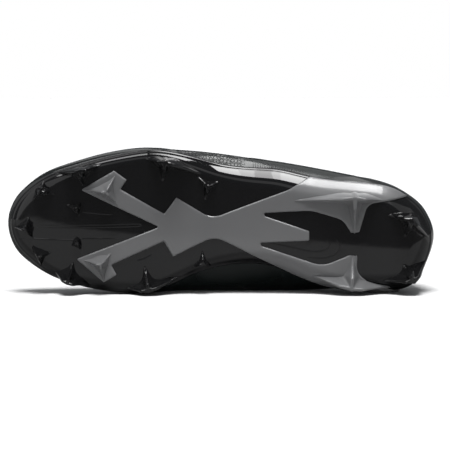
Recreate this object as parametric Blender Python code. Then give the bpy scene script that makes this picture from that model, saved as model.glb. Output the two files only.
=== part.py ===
"""Left american football cleat, lying on its inner side with the studded sole upright.

The shoe is modelled standing: x runs from the heel at 0 to the toe, y points to the
outer side of the foot, z is up, and z = 0 is the plane of the main stud tips. At the end
an empty lays the whole shoe on its inner side, on sole edge and upper.
"""

import math
from collections import namedtuple

import bmesh
import bpy
import numpy as np
from mathutils import Matrix, Vector

# Driving dimensions, in metres
SHOE_LENGTH = 0.292
BALL_WIDTH = 0.099
UPPER_HEIGHT = 0.077
STUD_HEIGHT = 0.0115
SMALL_STUD_HEIGHT = 0.0055
TOE_STUD_HEIGHT = 0.0098
ARCH_RISE = 0.0045
TOE_SPRING = 0.009
CUP_HEIGHT = 0.012
CUP_ZONE = 0.0135
RIM_INSET = 0.0015
PLATE_WALL = 0.0020
CHASSIS_WALL = 0.0012
UPPER_WALL = 0.0018
COLLAR_PAD = 0.0045
INSOLE_THICKNESS = 0.0035
TONGUE_THICKNESS = 0.0040
TONGUE_GAP = 0.0012
TONGUE_HALF_WIDTH = 0.0215
TONGUE_REACH = 0.024
TONGUE_MARGIN = 0.006
LACE_WIDTH = 0.0055
LACE_THICKNESS = 0.0014
LACE_SETBACK = 0.0038
EYELET_RADIUS = 0.0021
EYELET_INSET = 0.0065
MARGIN_CLIMB = 0.0015
SEAT_GAP = 0.0003
STUD_SINK = 0.0007
STUD_TOE = 0.0004
STUD_EDGE = 0.0004

# Shape of a stud's sides: how sharply its ridges narrow and how hollow its flanks are
STUD_FOLD = 2.6
STUD_WAIST = 1.9
STUD_FALL = 1.7
TIP_FLANK = 0.55
TIP_RIDGE = 1.30

# How fast the sole's edge turns up
CUP_CURVE = 2.2

# How fine the surfaces are
STEPS = 2
RIM_STEPS = 8
SLOPE_STEP = 0.0002
POINTS_AT_ONCE = 2000
RUNG_COUNT = 4
INSOLE_RUNG_COUNT = 2
GUIDE_STEPS = (3, 3, 2)
STUD_SPOKES = 5
STUD_RINGS = (0.0, 0.16, 0.45, 1.0)
CORNER_STEP = 0.0012
CORNER_STEPS = (2, 6)
CORNER_ROOM = 0.45
EYELET_SIDES = 8
ARCH_SHARES = (0.2, 0.4, 0.6, 0.8)
THROAT_SAMPLES = 25
LACE_SAMPLES = 8
BAR_SAMPLES = 5
LACE_SIDES = 6
TONGUE_ROWS = 13
TONGUE_ACROSS = 7

# Distances inwards from the rim of the rings of each layer, in metres
PLATE_INSETS = (0.0, 0.0014, 0.0034, 0.0062, 0.0100, 0.0150)
INSOLE_INSETS = (0.0050, 0.0120)
MARGIN_INSETS = (0.0120, 0.0050, 0.0)

# Sections of the sole from heel to toe. along is a share of the length, outer and inner
# are the rim's distances from the axis as shares of BALL_WIDTH, and arch, lift, cup and
# zone are shares of ARCH_RISE, TOE_SPRING, CUP_HEIGHT and CUP_ZONE.
SoleRow = namedtuple("SoleRow", "along outer inner arch lift cup zone")
SOLE = [
    SoleRow(0.000, -0.090, 0.090, 0.00, 0.25, 1.00, 1.00),
    SoleRow(0.012, 0.045, 0.245, 0.00, 0.22, 1.00, 1.00),
    SoleRow(0.036, 0.150, 0.385, 0.00, 0.15, 1.00, 1.00),
    SoleRow(0.075, 0.236, 0.445, 0.00, 0.05, 1.00, 1.00),
    SoleRow(0.125, 0.290, 0.458, 0.00, 0.00, 0.95, 1.00),
    SoleRow(0.210, 0.314, 0.445, 0.10, 0.00, 0.90, 1.00),
    SoleRow(0.290, 0.343, 0.386, 0.45, 0.00, 0.95, 1.00),
    SoleRow(0.360, 0.388, 0.305, 0.80, 0.00, 0.95, 0.95),
    SoleRow(0.420, 0.402, 0.272, 1.00, 0.00, 0.90, 0.90),
    SoleRow(0.490, 0.424, 0.280, 0.90, 0.00, 0.75, 0.80),
    SoleRow(0.550, 0.470, 0.320, 0.55, 0.00, 0.60, 0.70),
    SoleRow(0.600, 0.510, 0.380, 0.25, 0.00, 0.50, 0.60),
    SoleRow(0.655, 0.535, 0.448, 0.05, 0.00, 0.45, 0.55),
    SoleRow(0.710, 0.520, 0.462, 0.00, 0.00, 0.42, 0.50),
    SoleRow(0.780, 0.477, 0.442, 0.00, 0.08, 0.40, 0.50),
    SoleRow(0.850, 0.416, 0.395, 0.00, 0.25, 0.40, 0.50),
    SoleRow(0.910, 0.346, 0.328, 0.00, 0.50, 0.42, 0.55),
    SoleRow(0.955, 0.254, 0.232, 0.00, 0.75, 0.45, 0.60),
    SoleRow(0.985, 0.151, 0.140, 0.00, 0.92, 0.48, 0.60),
    SoleRow(1.000, 0.005, -0.005, 0.00, 1.00, 0.50, 0.60),
]

# Sections of the upper at the same stations. Each guide line has its distances to the
# outer and inner side as shares of BALL_WIDTH, and its height above the sole as a share
# of UPPER_HEIGHT. top is the collar's and the throat's edge, then the vamp's ridge.
UpperRow = namedtuple(
    "UpperRow",
    "swell_outer swell_inner swell_up shoulder_outer shoulder_inner shoulder_up "
    "top_outer top_inner top_up",
)
UPPER = [
    UpperRow(-0.085, 0.085, 0.33, -0.080, 0.080, 0.62, -0.075, 0.075, 0.90),
    UpperRow(0.042, 0.235, 0.33, 0.025, 0.205, 0.62, 0.015, 0.170, 0.89),
    UpperRow(0.143, 0.365, 0.33, 0.112, 0.315, 0.61, 0.085, 0.250, 0.865),
    UpperRow(0.226, 0.427, 0.33, 0.190, 0.378, 0.59, 0.148, 0.310, 0.815),
    UpperRow(0.289, 0.445, 0.33, 0.250, 0.402, 0.565, 0.198, 0.350, 0.745),
    UpperRow(0.343, 0.462, 0.34, 0.303, 0.428, 0.545, 0.248, 0.370, 0.685),
    UpperRow(0.385, 0.480, 0.37, 0.333, 0.448, 0.600, 0.255, 0.365, 0.735),
    UpperRow(0.419, 0.490, 0.40, 0.330, 0.418, 0.705, 0.202, 0.272, 0.890),
    UpperRow(0.442, 0.490, 0.39, 0.323, 0.385, 0.745, 0.142, 0.177, 0.985),
    UpperRow(0.476, 0.485, 0.35, 0.338, 0.364, 0.695, 0.122, 0.137, 0.945),
    UpperRow(0.500, 0.480, 0.31, 0.358, 0.362, 0.635, 0.112, 0.117, 0.865),
    UpperRow(0.513, 0.475, 0.27, 0.378, 0.357, 0.575, 0.102, 0.097, 0.785),
    UpperRow(0.524, 0.475, 0.24, 0.390, 0.348, 0.515, 0.085, 0.065, 0.715),
    UpperRow(0.521, 0.470, 0.22, 0.380, 0.338, 0.475, 0.010, -0.010, 0.650),
    UpperRow(0.484, 0.450, 0.215, 0.346, 0.318, 0.435, 0.010, -0.010, 0.570),
    UpperRow(0.424, 0.405, 0.220, 0.290, 0.283, 0.410, 0.008, -0.008, 0.505),
    UpperRow(0.354, 0.338, 0.235, 0.225, 0.222, 0.390, 0.006, -0.006, 0.467),
    UpperRow(0.258, 0.253, 0.247, 0.148, 0.152, 0.377, 0.004, -0.004, 0.448),
    UpperRow(0.156, 0.157, 0.253, 0.076, 0.086, 0.370, 0.003, -0.003, 0.436),
    UpperRow(0.003, -0.003, 0.253, 0.002, -0.002, 0.364, 0.001, -0.001, 0.429),
]

# How far each guide line stops short of the shoe's heel and toe, in metres
GUIDE_ENDS = {
    "rim": (RIM_INSET, RIM_INSET),
    "swell": (0.0, 0.0),
    "shoulder": (0.003, 0.009),
    "top": (0.007, 0.025),
}

# Places along the shoe, as shares of the length from the heel
THROAT_FRONT = 0.71
THROAT_BACK = 0.36
VAMP_COVER = 0.78
TONGUE_BEND = 0.370
TONGUE_FRONT = 0.765
COLLAR_FADE = (0.26, 0.33)

# Heights as shares of UPPER_HEIGHT between which the wall grows into the padded collar
COLLAR_RISE = (0.40, 0.60)

# The standing part of the tongue: its direction, its steps, and how it narrows on the way up
TONGUE_RISE = (-0.42, 0.0, 0.91)
TONGUE_CLIMB = (0.35, 0.7, 1.0)
TONGUE_NARROW = (0.0, 0.24, 0.10)

# Studs: middle of the tip, then the ends of the three ridges, all as shares of the length
# from the heel and of BALL_WIDTH from the axis. tip is the tip's half width in metres.
Stud = namedtuple("Stud", "name owner height tip middle first second third")
STUDS = [
    Stud("toe_outer", "plate", "toe", 0.0016, (0.919, 0.259), (0.916, 0.317), (0.941, 0.179), (0.889, 0.226)),
    Stud("toe_middle", "plate", "toe", 0.0016, (0.957, -0.010), (0.951, 0.066), (0.985, -0.014), (0.941, -0.079)),
    Stud("toe_inner", "plate", "toe", 0.0016, (0.926, -0.199), (0.943, -0.133), (0.899, -0.177), (0.923, -0.279)),
    Stud("low_outer", "plate", "small", 0.0014, (0.838, 0.135), (0.860, 0.157), (0.825, 0.168), (0.831, 0.084)),
    Stud("low_inner", "plate", "small", 0.0014, (0.836, -0.103), (0.839, -0.066), (0.849, -0.124), (0.828, -0.152)),
    Stud("front_outer", "plate", "main", 0.0026, (0.826, 0.408), (0.885, 0.373), (0.781, 0.435), (0.823, 0.295)),
    Stud("front_inner", "plate", "main", 0.0026, (0.858, -0.368), (0.889, -0.316), (0.806, -0.414), (0.847, -0.246)),
    Stud("ball_outer", "plate", "main", 0.0034, (0.631, 0.470), (0.675, 0.480), (0.546, 0.372), (0.637, 0.328)),
    Stud("ball_inner", "plate", "main", 0.0034, (0.669, -0.405), (0.722, -0.425), (0.597, -0.345), (0.679, -0.268)),
    Stud("rear_outer", "plate", "small", 0.0024, (0.532, 0.288), (0.557, 0.357), (0.507, 0.317), (0.538, 0.193)),
    Stud("rear_inner", "plate", "small", 0.0020, (0.543, -0.245), (0.545, -0.162), (0.567, -0.278), (0.525, -0.271)),
    Stud("heel_outer", "plate", "main", 0.0034, (0.060, 0.075), (0.112, 0.095), (0.072, -0.052), (0.016, -0.070)),
    Stud("heel_inner", "plate", "main", 0.0034, (0.053, -0.350), (0.122, -0.372), (0.074, -0.255), (0.018, -0.240)),
    Stud("arm_outer", "chassis", "main", 0.0016, (0.768, 0.262), (0.748, 0.357), (0.803, 0.259), (0.744, 0.164)),
    Stud("arm_inner", "chassis", "main", 0.0016, (0.781, -0.241), (0.760, -0.177), (0.813, -0.224), (0.778, -0.343)),
    Stud("waist_outer", "chassis", "main", 0.0050, (0.193, 0.220), (0.330, 0.190), (0.135, 0.195), (0.190, -0.028)),
    Stud("waist_inner", "chassis", "main", 0.0050, (0.197, -0.405), (0.300, -0.330), (0.105, -0.420), (0.193, -0.193)),
]

# Outline of the chassis: along and across as for the studs, and the corner's radius in metres
Corner = namedtuple("Corner", "along across radius")
CHASSIS = [
    Corner(0.8274, 0.262, 0.0010),
    Corner(0.7498, 0.397, 0.0006),
    Corner(0.7204, 0.335, 0.0006),
    Corner(0.7351, 0.269, 0.0010),
    Corner(0.6333, 0.098, 0.0010),
    Corner(0.6052, 0.212, 0.0004),
    Corner(0.5230, 0.062, 0.0160),
    Corner(0.3424, 0.265, 0.0100),
    Corner(0.2900, 0.345, 0.0020),
    Corner(0.2700, 0.520, 0.0020),
    Corner(0.0600, 0.420, 0.0020),
    Corner(0.0680, 0.205, 0.0010),
    Corner(0.1600, 0.172, 0.0080),
    Corner(0.1790, -0.024, 0.0006),
    Corner(0.1980, -0.030, 0.0006),
    Corner(0.2170, 0.060, 0.0120),
    Corner(0.2900, 0.122, 0.0300),
    Corner(0.4010, 0.101, 0.0010),
    Corner(0.3990, 0.080, 0.0010),
    Corner(0.2950, -0.022, 0.0012),
    Corner(0.2950, -0.088, 0.0012),
    Corner(0.4090, -0.107, 0.0012),
    Corner(0.4070, -0.129, 0.0012),
    Corner(0.2640, -0.265, 0.0200),
    Corner(0.2010, -0.185, 0.0030),
    Corner(0.1830, -0.190, 0.0006),
    Corner(0.1840, -0.310, 0.0100),
    Corner(0.1450, -0.400, 0.0100),
    Corner(0.0800, -0.456, 0.0010),
    Corner(0.0800, -0.540, 0.0010),
    Corner(0.2600, -0.540, 0.0100),
    Corner(0.3300, -0.335, 0.0100),
    Corner(0.5170, -0.060, 0.0160),
    Corner(0.6133, -0.199, 0.0004),
    Corner(0.6345, -0.090, 0.0010),
    Corner(0.7570, -0.257, 0.0010),
    Corner(0.7444, -0.326, 0.0006),
    Corner(0.7743, -0.380, 0.0006),
    Corner(0.8391, -0.220, 0.0010),
    Corner(0.6455, 0.008, 0.0010),
]

# Places of the eyelet pairs along the shoe, from the ankle to the toes
EYELET_ROWS = (0.410, 0.456, 0.502, 0.548, 0.594, 0.640)

# The lace's levels over the upper's outside, and the share of a run where it sinks between them
LACE_HIGH = 2 * SEAT_GAP + LACE_THICKNESS / 2
LACE_LOW = LACE_THICKNESS / 2 - UPPER_WALL - SEAT_GAP
LACE_FALL = (0.40, 0.72)


def closed_curve(points, steps):
    """Samples of the smooth closed curve through points, with steps samples for each of them."""
    points = np.asarray(points, float)
    count = len(points)
    system = 4 * np.eye(count) + np.roll(np.eye(count), 1, 0) + np.roll(np.eye(count), -1, 0)
    slopes = np.linalg.solve(system, 3 * (np.roll(points, -1, 0) - np.roll(points, 1, 0)))
    after, after_slopes = np.roll(points, -1, 0), np.roll(slopes, -1, 0)
    samples = []
    for k in range(steps):
        t = k / steps
        samples.append(
            (2 * t**3 - 3 * t**2 + 1) * points
            + (t**3 - 2 * t**2 + t) * slopes
            + (3 * t**2 - 2 * t**3) * after
            + (t**3 - t**2) * after_slopes
        )
    return np.stack(samples, 1).reshape(count * steps, -1)


def unit(vectors):
    """Vectors made one long, along the last axis."""
    return vectors / np.linalg.norm(vectors, axis=-1, keepdims=True)


def ring_of(outer, inner):
    """Closed ring of control points: heel, outer side to the toe, inner side back to the heel."""
    return np.array(list(outer) + list(inner)[-2:0:-1])


def guide_x(name):
    """Distance from the heel of each section on one guide line."""
    heel, toe = GUIDE_ENDS[name]
    return [heel + row.along * (SHOE_LENGTH - heel - toe) for row in SOLE]


def rim_ring():
    """Control points of the rim's outline."""
    xs = guide_x("rim")
    outer = [(x, row.outer * BALL_WIDTH) for x, row in zip(xs, SOLE)]
    inner = [(x, -row.inner * BALL_WIDTH) for x, row in zip(xs, SOLE)]
    return ring_of(outer, inner)


RIM = closed_curve(rim_ring(), RIM_STEPS)


def along_x(column):
    """One column of the sole's table as a function of x, through its rows."""
    xs = np.array(guide_x("rim"))
    values = np.array([getattr(row, column) for row in SOLE])
    slopes = np.gradient(values, xs)

    def value(x):
        x = np.clip(x, xs[0], xs[-1])
        k = np.clip(np.searchsorted(xs, x) - 1, 0, len(xs) - 2)
        width = xs[k + 1] - xs[k]
        t = (x - xs[k]) / width
        return (
            (2 * t**3 - 3 * t**2 + 1) * values[k]
            + (t**3 - 2 * t**2 + t) * width * slopes[k]
            + (3 * t**2 - 2 * t**3) * values[k + 1]
            + (t**3 - t**2) * width * slopes[k + 1]
        )

    return value


ARCH, LIFT, CUP, ZONE = (along_x(name) for name in ("arch", "lift", "cup", "zone"))


def rim_distance(points):
    """Distance of plan points from the rim's outline."""
    start, end = RIM, np.roll(RIM, -1, 0)
    step = end - start
    found = []
    for part in np.array_split(points, 1 + len(points) // POINTS_AT_ONCE):
        offset = part[:, None, :] - start[None]
        t = np.clip((offset * step).sum(2) / (step**2).sum(1), 0, 1)
        found.append(np.linalg.norm(offset - t[..., None] * step, axis=2).min(1))
    return np.concatenate(found)


def inside_rim(points):
    """Whether each plan point lies inside the rim."""
    start, end = RIM[None], np.roll(RIM, -1, 0)[None]
    x, y = points[:, 0:1], points[:, 1:2]
    crosses = (start[..., 1] > y) != (end[..., 1] > y)
    rise = end[..., 1] - start[..., 1]
    rise = np.where(rise == 0, 1.0, rise)
    at = start[..., 0] + (y - start[..., 1]) * (end[..., 0] - start[..., 0]) / rise
    return (crosses & (x < at)).sum(1) % 2 == 1


def sole_height(points):
    """Height of the plate's underside over plan points. Outside the rim it is the rim's."""
    x = points[:, 0]
    share = rim_distance(points) * inside_rim(points) / (CUP_ZONE * ZONE(x))
    rise = CUP_HEIGHT * CUP(x) * np.clip(1 - share, 0, 1) ** CUP_CURVE
    return STUD_HEIGHT + ARCH_RISE * ARCH(x) + TOE_SPRING * LIFT(x) + rise


def skin(points, lift):
    """Points that stand lift above the plate's underside, square to it, over plan points."""
    points = np.asarray(points, float)
    height = sole_height(points)
    toward = RIM.mean(0)
    slopes = []
    for axis in (0, 1):
        step = np.zeros_like(points)
        step[:, axis] = np.where(points[:, axis] < toward[axis], SLOPE_STEP, -SLOPE_STEP)
        slopes.append((sole_height(points + step) - height) / step[:, axis])
    normal = unit(np.stack([-slopes[0], -slopes[1], np.ones(len(points))], 1))
    return np.column_stack([points, height]) + lift * normal


def rim_columns():
    """Plan points of the rim, one for each column, and the directions that point inwards."""
    ring = closed_curve(rim_ring(), STEPS)
    tangent = unit(np.roll(ring, -1, 0) - np.roll(ring, 1, 0))
    # The ring runs clockwise seen from above, so its inside is on the right.
    return ring, np.column_stack([tangent[:, 1], -tangent[:, 0]])


def bowl(lift, insets, rungs):
    """Vertices of one skin of the sole: rings at the insets, then rungs across the middle."""
    ring, inward = rim_columns()
    half = len(ring) // 2
    plan = [ring + inset * inward for inset in insets]
    last = plan[-1]
    for i in range(1, half):
        share = (np.arange(1, rungs) / rungs)[:, None]
        plan.append(last[i] * (1 - share) + last[-i] * share)
    return skin(np.concatenate(plan), lift)


def bowl_faces(columns, rings, rungs):
    """Faces of a bowl, as indices into its vertices."""
    faces = []
    for k in range(rings - 1):
        for i in range(columns):
            j = (i + 1) % columns
            faces.append((k * columns + i, k * columns + j, (k + 1) * columns + j, (k + 1) * columns + i))
    last = (rings - 1) * columns
    half = columns // 2

    def rung(i):
        first = rings * columns + (i - 1) * (rungs - 1)
        return [last + i] + list(range(first, first + rungs - 1)) + [last + columns - i]

    for i in range(1, half - 1):
        here, there = rung(i), rung(i + 1)
        for k in range(rungs):
            faces.append((here[k], there[k], there[k + 1], here[k + 1]))
    for end, row in ((last, rung(1)), (last + half, rung(half - 1))):
        for k in range(rungs):
            faces.append((end, row[k], row[k + 1]))
    return faces


def mesh_object(name, vertices, faces, closed=True):
    """A new object of these faces. A closed one gets its faces turned outwards."""
    mesh = bpy.data.meshes.new(name)
    mesh.from_pydata([tuple(v) for v in vertices], [], [tuple(int(i) for i in f) for f in faces])
    made = bmesh.new()
    made.from_mesh(mesh)
    if closed:
        bmesh.ops.recalc_face_normals(made, faces=made.faces)
    made.to_mesh(mesh)
    made.free()
    thing = bpy.data.objects.new(name, mesh)
    bpy.context.scene.collection.objects.link(thing)
    return thing


def layer(name, low, high, insets, rungs):
    """Closed solid between two lifts of the sole's skin."""
    lower, upper = bowl(low, insets, rungs), bowl(high, insets, rungs)
    columns = 2 * (len(SOLE) - 1) * STEPS
    faces = bowl_faces(columns, len(insets), rungs)
    count = len(lower)
    closed = [tuple(reversed(face)) for face in faces]
    closed += [tuple(i + count for i in face) for face in faces]
    for i in range(columns):
        j = (i + 1) % columns
        closed.append((i, j, j + count, i + count))
    return mesh_object(name, np.concatenate([lower, upper]), closed)


def plan_point(along, across):
    """Plan point from shares of the length and of the ball's width."""
    return np.array([along * SHOE_LENGTH, across * BALL_WIDTH])


def stud_tip_height(stud, base):
    """Height of a stud's flat tip over the ground plane."""
    if stud.height == "small":
        return base - SMALL_STUD_HEIGHT
    if stud.height == "toe":
        return base - TOE_STUD_HEIGHT
    return 0.0


def stud_outline(stud, share):
    """Plan outline of a stud: 0 at the tip, 1 at the foot of its three ridges."""
    middle = plan_point(*stud.middle)
    arms = [plan_point(*end) - middle for end in (stud.first, stud.second, stud.third)]
    arms.sort(key=lambda arm: math.atan2(arm[1], arm[0]))
    outline = []
    for k in range(3):
        here, there = arms[k], arms[(k + 1) % 3]
        start = math.atan2(here[1], here[0])
        sweep = (math.atan2(there[1], there[0]) - start) % (2 * math.pi)
        for step in range(STUD_SPOKES):
            t = step / STUD_SPOKES
            near = np.linalg.norm(here) if t < 0.5 else np.linalg.norm(there)
            ridge = abs(1 - 2 * t)
            waist = STUD_WAIST * stud.tip
            foot = waist + (near - waist) * ridge**STUD_FOLD
            tip = stud.tip * (TIP_FLANK + (TIP_RIDGE - TIP_FLANK) * ridge)
            reach = tip + (foot - tip) * share
            angle = start + sweep * t
            outline.append(middle + reach * np.array([math.cos(angle), math.sin(angle)]))
    return np.array(outline)


def stud_solid(stud, lift):
    """Closed star-shaped stud that starts at lift and is sunk a little into the layer there."""
    middle = plan_point(*stud.middle)
    tip = stud_tip_height(stud, float(sole_height(middle[None])[0]))
    rings = []
    for share in STUD_RINGS:
        plan = stud_outline(stud, share)
        foot = skin(plan, lift)[:, 2]
        height = foot + (tip - foot) * (1 - share) ** STUD_FALL + STUD_TOE * share
        rings.append(np.column_stack([plan, height]))
    rings.append(rings[-1] + (0, 0, 2 * CUP_HEIGHT))
    return tube("stud_" + stud.name, np.array(rings))


def below_skin(lift):
    """Closed solid of everything under the sole's skin at lift, just short of the rim."""
    insets = (STUD_EDGE,) + PLATE_INSETS[1:]
    top = bowl(lift, insets, RUNG_COUNT)
    columns = 2 * (len(SOLE) - 1) * STEPS
    faces = bowl_faces(columns, len(insets), RUNG_COUNT)
    count = len(top)
    floor = np.column_stack([top[:, :2], np.full(count, -STUD_HEIGHT)])
    closed = faces + [tuple(i + count for i in reversed(face)) for face in faces]
    for i in range(columns):
        j = (i + 1) % columns
        closed.append((i, j, j + count, i + count))
    return mesh_object("below_skin", np.concatenate([top, floor]), closed)


def studs_of(owner, lift):
    """All studs of one owner, each cut to the sole's own surface and outline."""
    made = []
    for stud in STUDS:
        if stud.owner == owner:
            solid = stud_solid(stud, lift)
            cut(solid, below_skin(lift + STUD_SINK), "INTERSECT")
            made.append(solid)
    return made


def cut(thing, other, operation):
    """Joins, cuts or intersects two objects exactly and removes the second."""
    change = thing.modifiers.new(operation.lower(), "BOOLEAN")
    change.operation = operation
    change.solver = "EXACT"
    change.object = other
    settle(thing)
    bpy.data.objects.remove(other)


def settle(thing):
    """Puts the result of a thing's modifiers into its mesh."""
    bpy.context.view_layer.update()
    graph = bpy.context.evaluated_depsgraph_get()
    mesh = bpy.data.meshes.new_from_object(thing.evaluated_get(graph))
    thing.modifiers.clear()
    thing.data = mesh


def material(name, color, roughness):
    """A plain material."""
    made = bpy.data.materials.new(name)
    made.use_nodes = True
    shader = made.node_tree.nodes["Principled BSDF"]
    shader.inputs["Base Color"].default_value = (*color, 1.0)
    shader.inputs["Roughness"].default_value = roughness
    return made


def sole_plate():
    """Black plate with its turned-up rim and its studs, cut clear of the chassis."""
    plate = layer("sole_plate", 0.0, PLATE_WALL, PLATE_INSETS, RUNG_COUNT)
    for stud in studs_of("plate", 0.0):
        cut(stud, chassis_shape(SEAT_GAP), "DIFFERENCE")
        cut(plate, stud, "UNION")
    return plate


def rounded_outline(corners):
    """Plan outline through the corners, each rounded by an arc of its radius."""
    points = [plan_point(corner.along, corner.across) for corner in corners]
    outline = []
    for k, corner in enumerate(corners):
        here, back, ahead = points[k], points[k - 1], points[(k + 1) % len(points)]
        toward_back, toward_ahead = unit(back - here), unit(ahead - here)
        turn = math.acos(max(-1.0, min(1.0, float(toward_back @ toward_ahead))))
        room = CORNER_ROOM * min(np.linalg.norm(back - here), np.linalg.norm(ahead - here))
        trim = min(corner.radius / math.tan(turn / 2), room)
        start, end = here + trim * toward_back, here + trim * toward_ahead
        arcs = max(CORNER_STEPS[0], min(CORNER_STEPS[1], int(trim / CORNER_STEP)))
        for step in range(arcs + 1):
            t = step / arcs
            outline.append((1 - t) ** 2 * start + 2 * t * (1 - t) * here + t**2 * end)
    return np.array(outline)


def prism(name, outline, low, high):
    """Upright closed solid over a plan outline."""
    count = len(outline)
    vertices = [(x, y, low) for x, y in outline] + [(x, y, high) for x, y in outline]
    faces = [tuple(range(count)), tuple(range(count, 2 * count))]
    for i in range(count):
        j = (i + 1) % count
        faces.append((i, j, j + count, i + count))
    return mesh_object(name, vertices, faces)


def chassis_shape(grown):
    """Upright prism over the chassis's outline, grown sideways by a clearance."""
    outline = rounded_outline(CHASSIS)
    if grown:
        along = unit(np.roll(outline, -1, 0) - np.roll(outline, 1, 0))
        outline = outline + grown * np.column_stack([along[:, 1], -along[:, 0]])
    return prism("chassis_shape", outline, -STUD_HEIGHT, STUD_HEIGHT + ARCH_RISE + 2 * CUP_HEIGHT)


def chassis():
    """Grey overlay on the plate's underside with its four studs."""
    low = -SEAT_GAP - CHASSIS_WALL
    thing = layer("chassis", low, -SEAT_GAP, PLATE_INSETS, RUNG_COUNT)
    cut(thing, chassis_shape(0.0), "INTERSECT")
    for stud in studs_of("chassis", low):
        cut(thing, stud, "UNION")
    return thing


def insole():
    """Sock liner in the cup, on the upper's lasting margin."""
    low = PLATE_WALL + UPPER_WALL + 2 * SEAT_GAP
    return layer("insole", low, low + INSOLE_THICKNESS, INSOLE_INSETS, INSOLE_RUNG_COUNT)


def guide(name):
    """Sampled guide line of the upper, one point for each column."""
    xs = guide_x(name)
    outer, inner = [], []
    for x, row in zip(xs, UPPER):
        z = STUD_HEIGHT + getattr(row, name + "_up") * UPPER_HEIGHT
        outer.append((x, getattr(row, name + "_outer") * BALL_WIDTH, z))
        inner.append((x, -getattr(row, name + "_inner") * BALL_WIDTH, z))
    return closed_curve(ring_of(outer, inner), STEPS)


def between(before, start, end, after, t):
    """Point at t between start and end, on the smooth curve that also passes before and after."""
    return 0.5 * (
        2 * start
        + (end - before) * t
        + (2 * before - 5 * start + 4 * end - after) * t**2
        + (3 * start - before - 3 * end + after) * t**3
    )


def column_share(i, columns):
    """Row number of a column, from 0 at the heel to the last row at the toe."""
    return min(i, columns - i) / STEPS


def row_of(along):
    """Row number, with a fraction, of a place along the shoe."""
    return float(np.interp(along, [row.along for row in SOLE], range(len(SOLE))))


def upper_surface():
    """Grid of the upper's outside: rows from the lasting margin to the top, by columns."""
    ring, inward = rim_columns()
    lift = PLATE_WALL + SEAT_GAP
    rows = [skin(ring + inset * inward, lift) for inset in MARGIN_INSETS]
    rows.append(rows[-1] + MARGIN_CLIMB * unit(rows[-1] - rows[-2]))
    swell, shoulder, top = guide("swell"), guide("shoulder"), guide("top")
    columns = len(ring)
    partner = [(columns - i) % columns for i in range(columns)]
    closed = np.array([column_share(i, columns) >= row_of(THROAT_FRONT) - 1e-6 for i in range(columns)])
    top[closed] = (top[closed] + top[partner][closed]) / 2
    beyond = np.where(closed[:, None], shoulder[partner], 2 * top - shoulder)
    line = [rows[-2], rows[-1], swell, shoulder, top, beyond]
    for k, steps in enumerate(GUIDE_STEPS, 1):
        for step in range(1, steps + 1):
            rows.append(between(*line[k - 1 : k + 3], step / steps))
    return np.array(rows), closed


def upper():
    """Hollow upper, open at the collar, the throat and underneath, with its eyelets."""
    grid, closed = upper_surface()
    rows, columns = grid.shape[:2]
    index = np.arange(rows * columns).reshape(rows, columns)
    for i in range(columns // 2 + 1, columns):
        if closed[i]:
            index[-1, i] = index[-1, columns - i]
    faces = []
    for k in range(rows - 1):
        for i in range(columns):
            j = (i + 1) % columns
            face = [index[k, i], index[k + 1, i], index[k + 1, j], index[k, j]]
            faces.append(tuple(dict.fromkeys(face)))
    thing = mesh_object("upper", grid.reshape(-1, 3), faces, closed=False)
    tidy(thing)
    pad = thing.vertex_groups.new(name="padding")
    for vertex in thing.data.vertices:
        pad.add([vertex.index], wall_share(vertex.co), "REPLACE")
    wall = thing.modifiers.new("wall", "SOLIDIFY")
    wall.thickness = COLLAR_PAD
    wall.offset = -1
    wall.use_even_offset = True
    wall.vertex_group = pad.name
    settle(thing)
    for post in eyelet_posts():
        cut(thing, post, "DIFFERENCE")
    return thing


def tidy(thing):
    """Drops loose points and turns an open skin so that it faces away from the foot."""
    made = bmesh.new()
    made.from_mesh(thing.data)
    loose = [v for v in made.verts if not v.link_faces]
    bmesh.ops.delete(made, geom=loose, context="VERTS")
    made.normal_update()
    widest = max(made.verts, key=lambda v: v.co.y)
    if widest.normal.y < 0:
        bmesh.ops.reverse_faces(made, faces=made.faces)
    made.to_mesh(thing.data)
    made.free()


def wall_share(place):
    """Thickness of the upper's wall at a place, as a share of the padded collar's."""
    thin = UPPER_WALL / COLLAR_PAD
    back = np.interp(place.x / SHOE_LENGTH, COLLAR_FADE, (1.0, 0.0))
    collar = np.interp((place.z - STUD_HEIGHT) / UPPER_HEIGHT, COLLAR_RISE, (0.0, 1.0))
    return thin + (1 - thin) * back * collar


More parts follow.
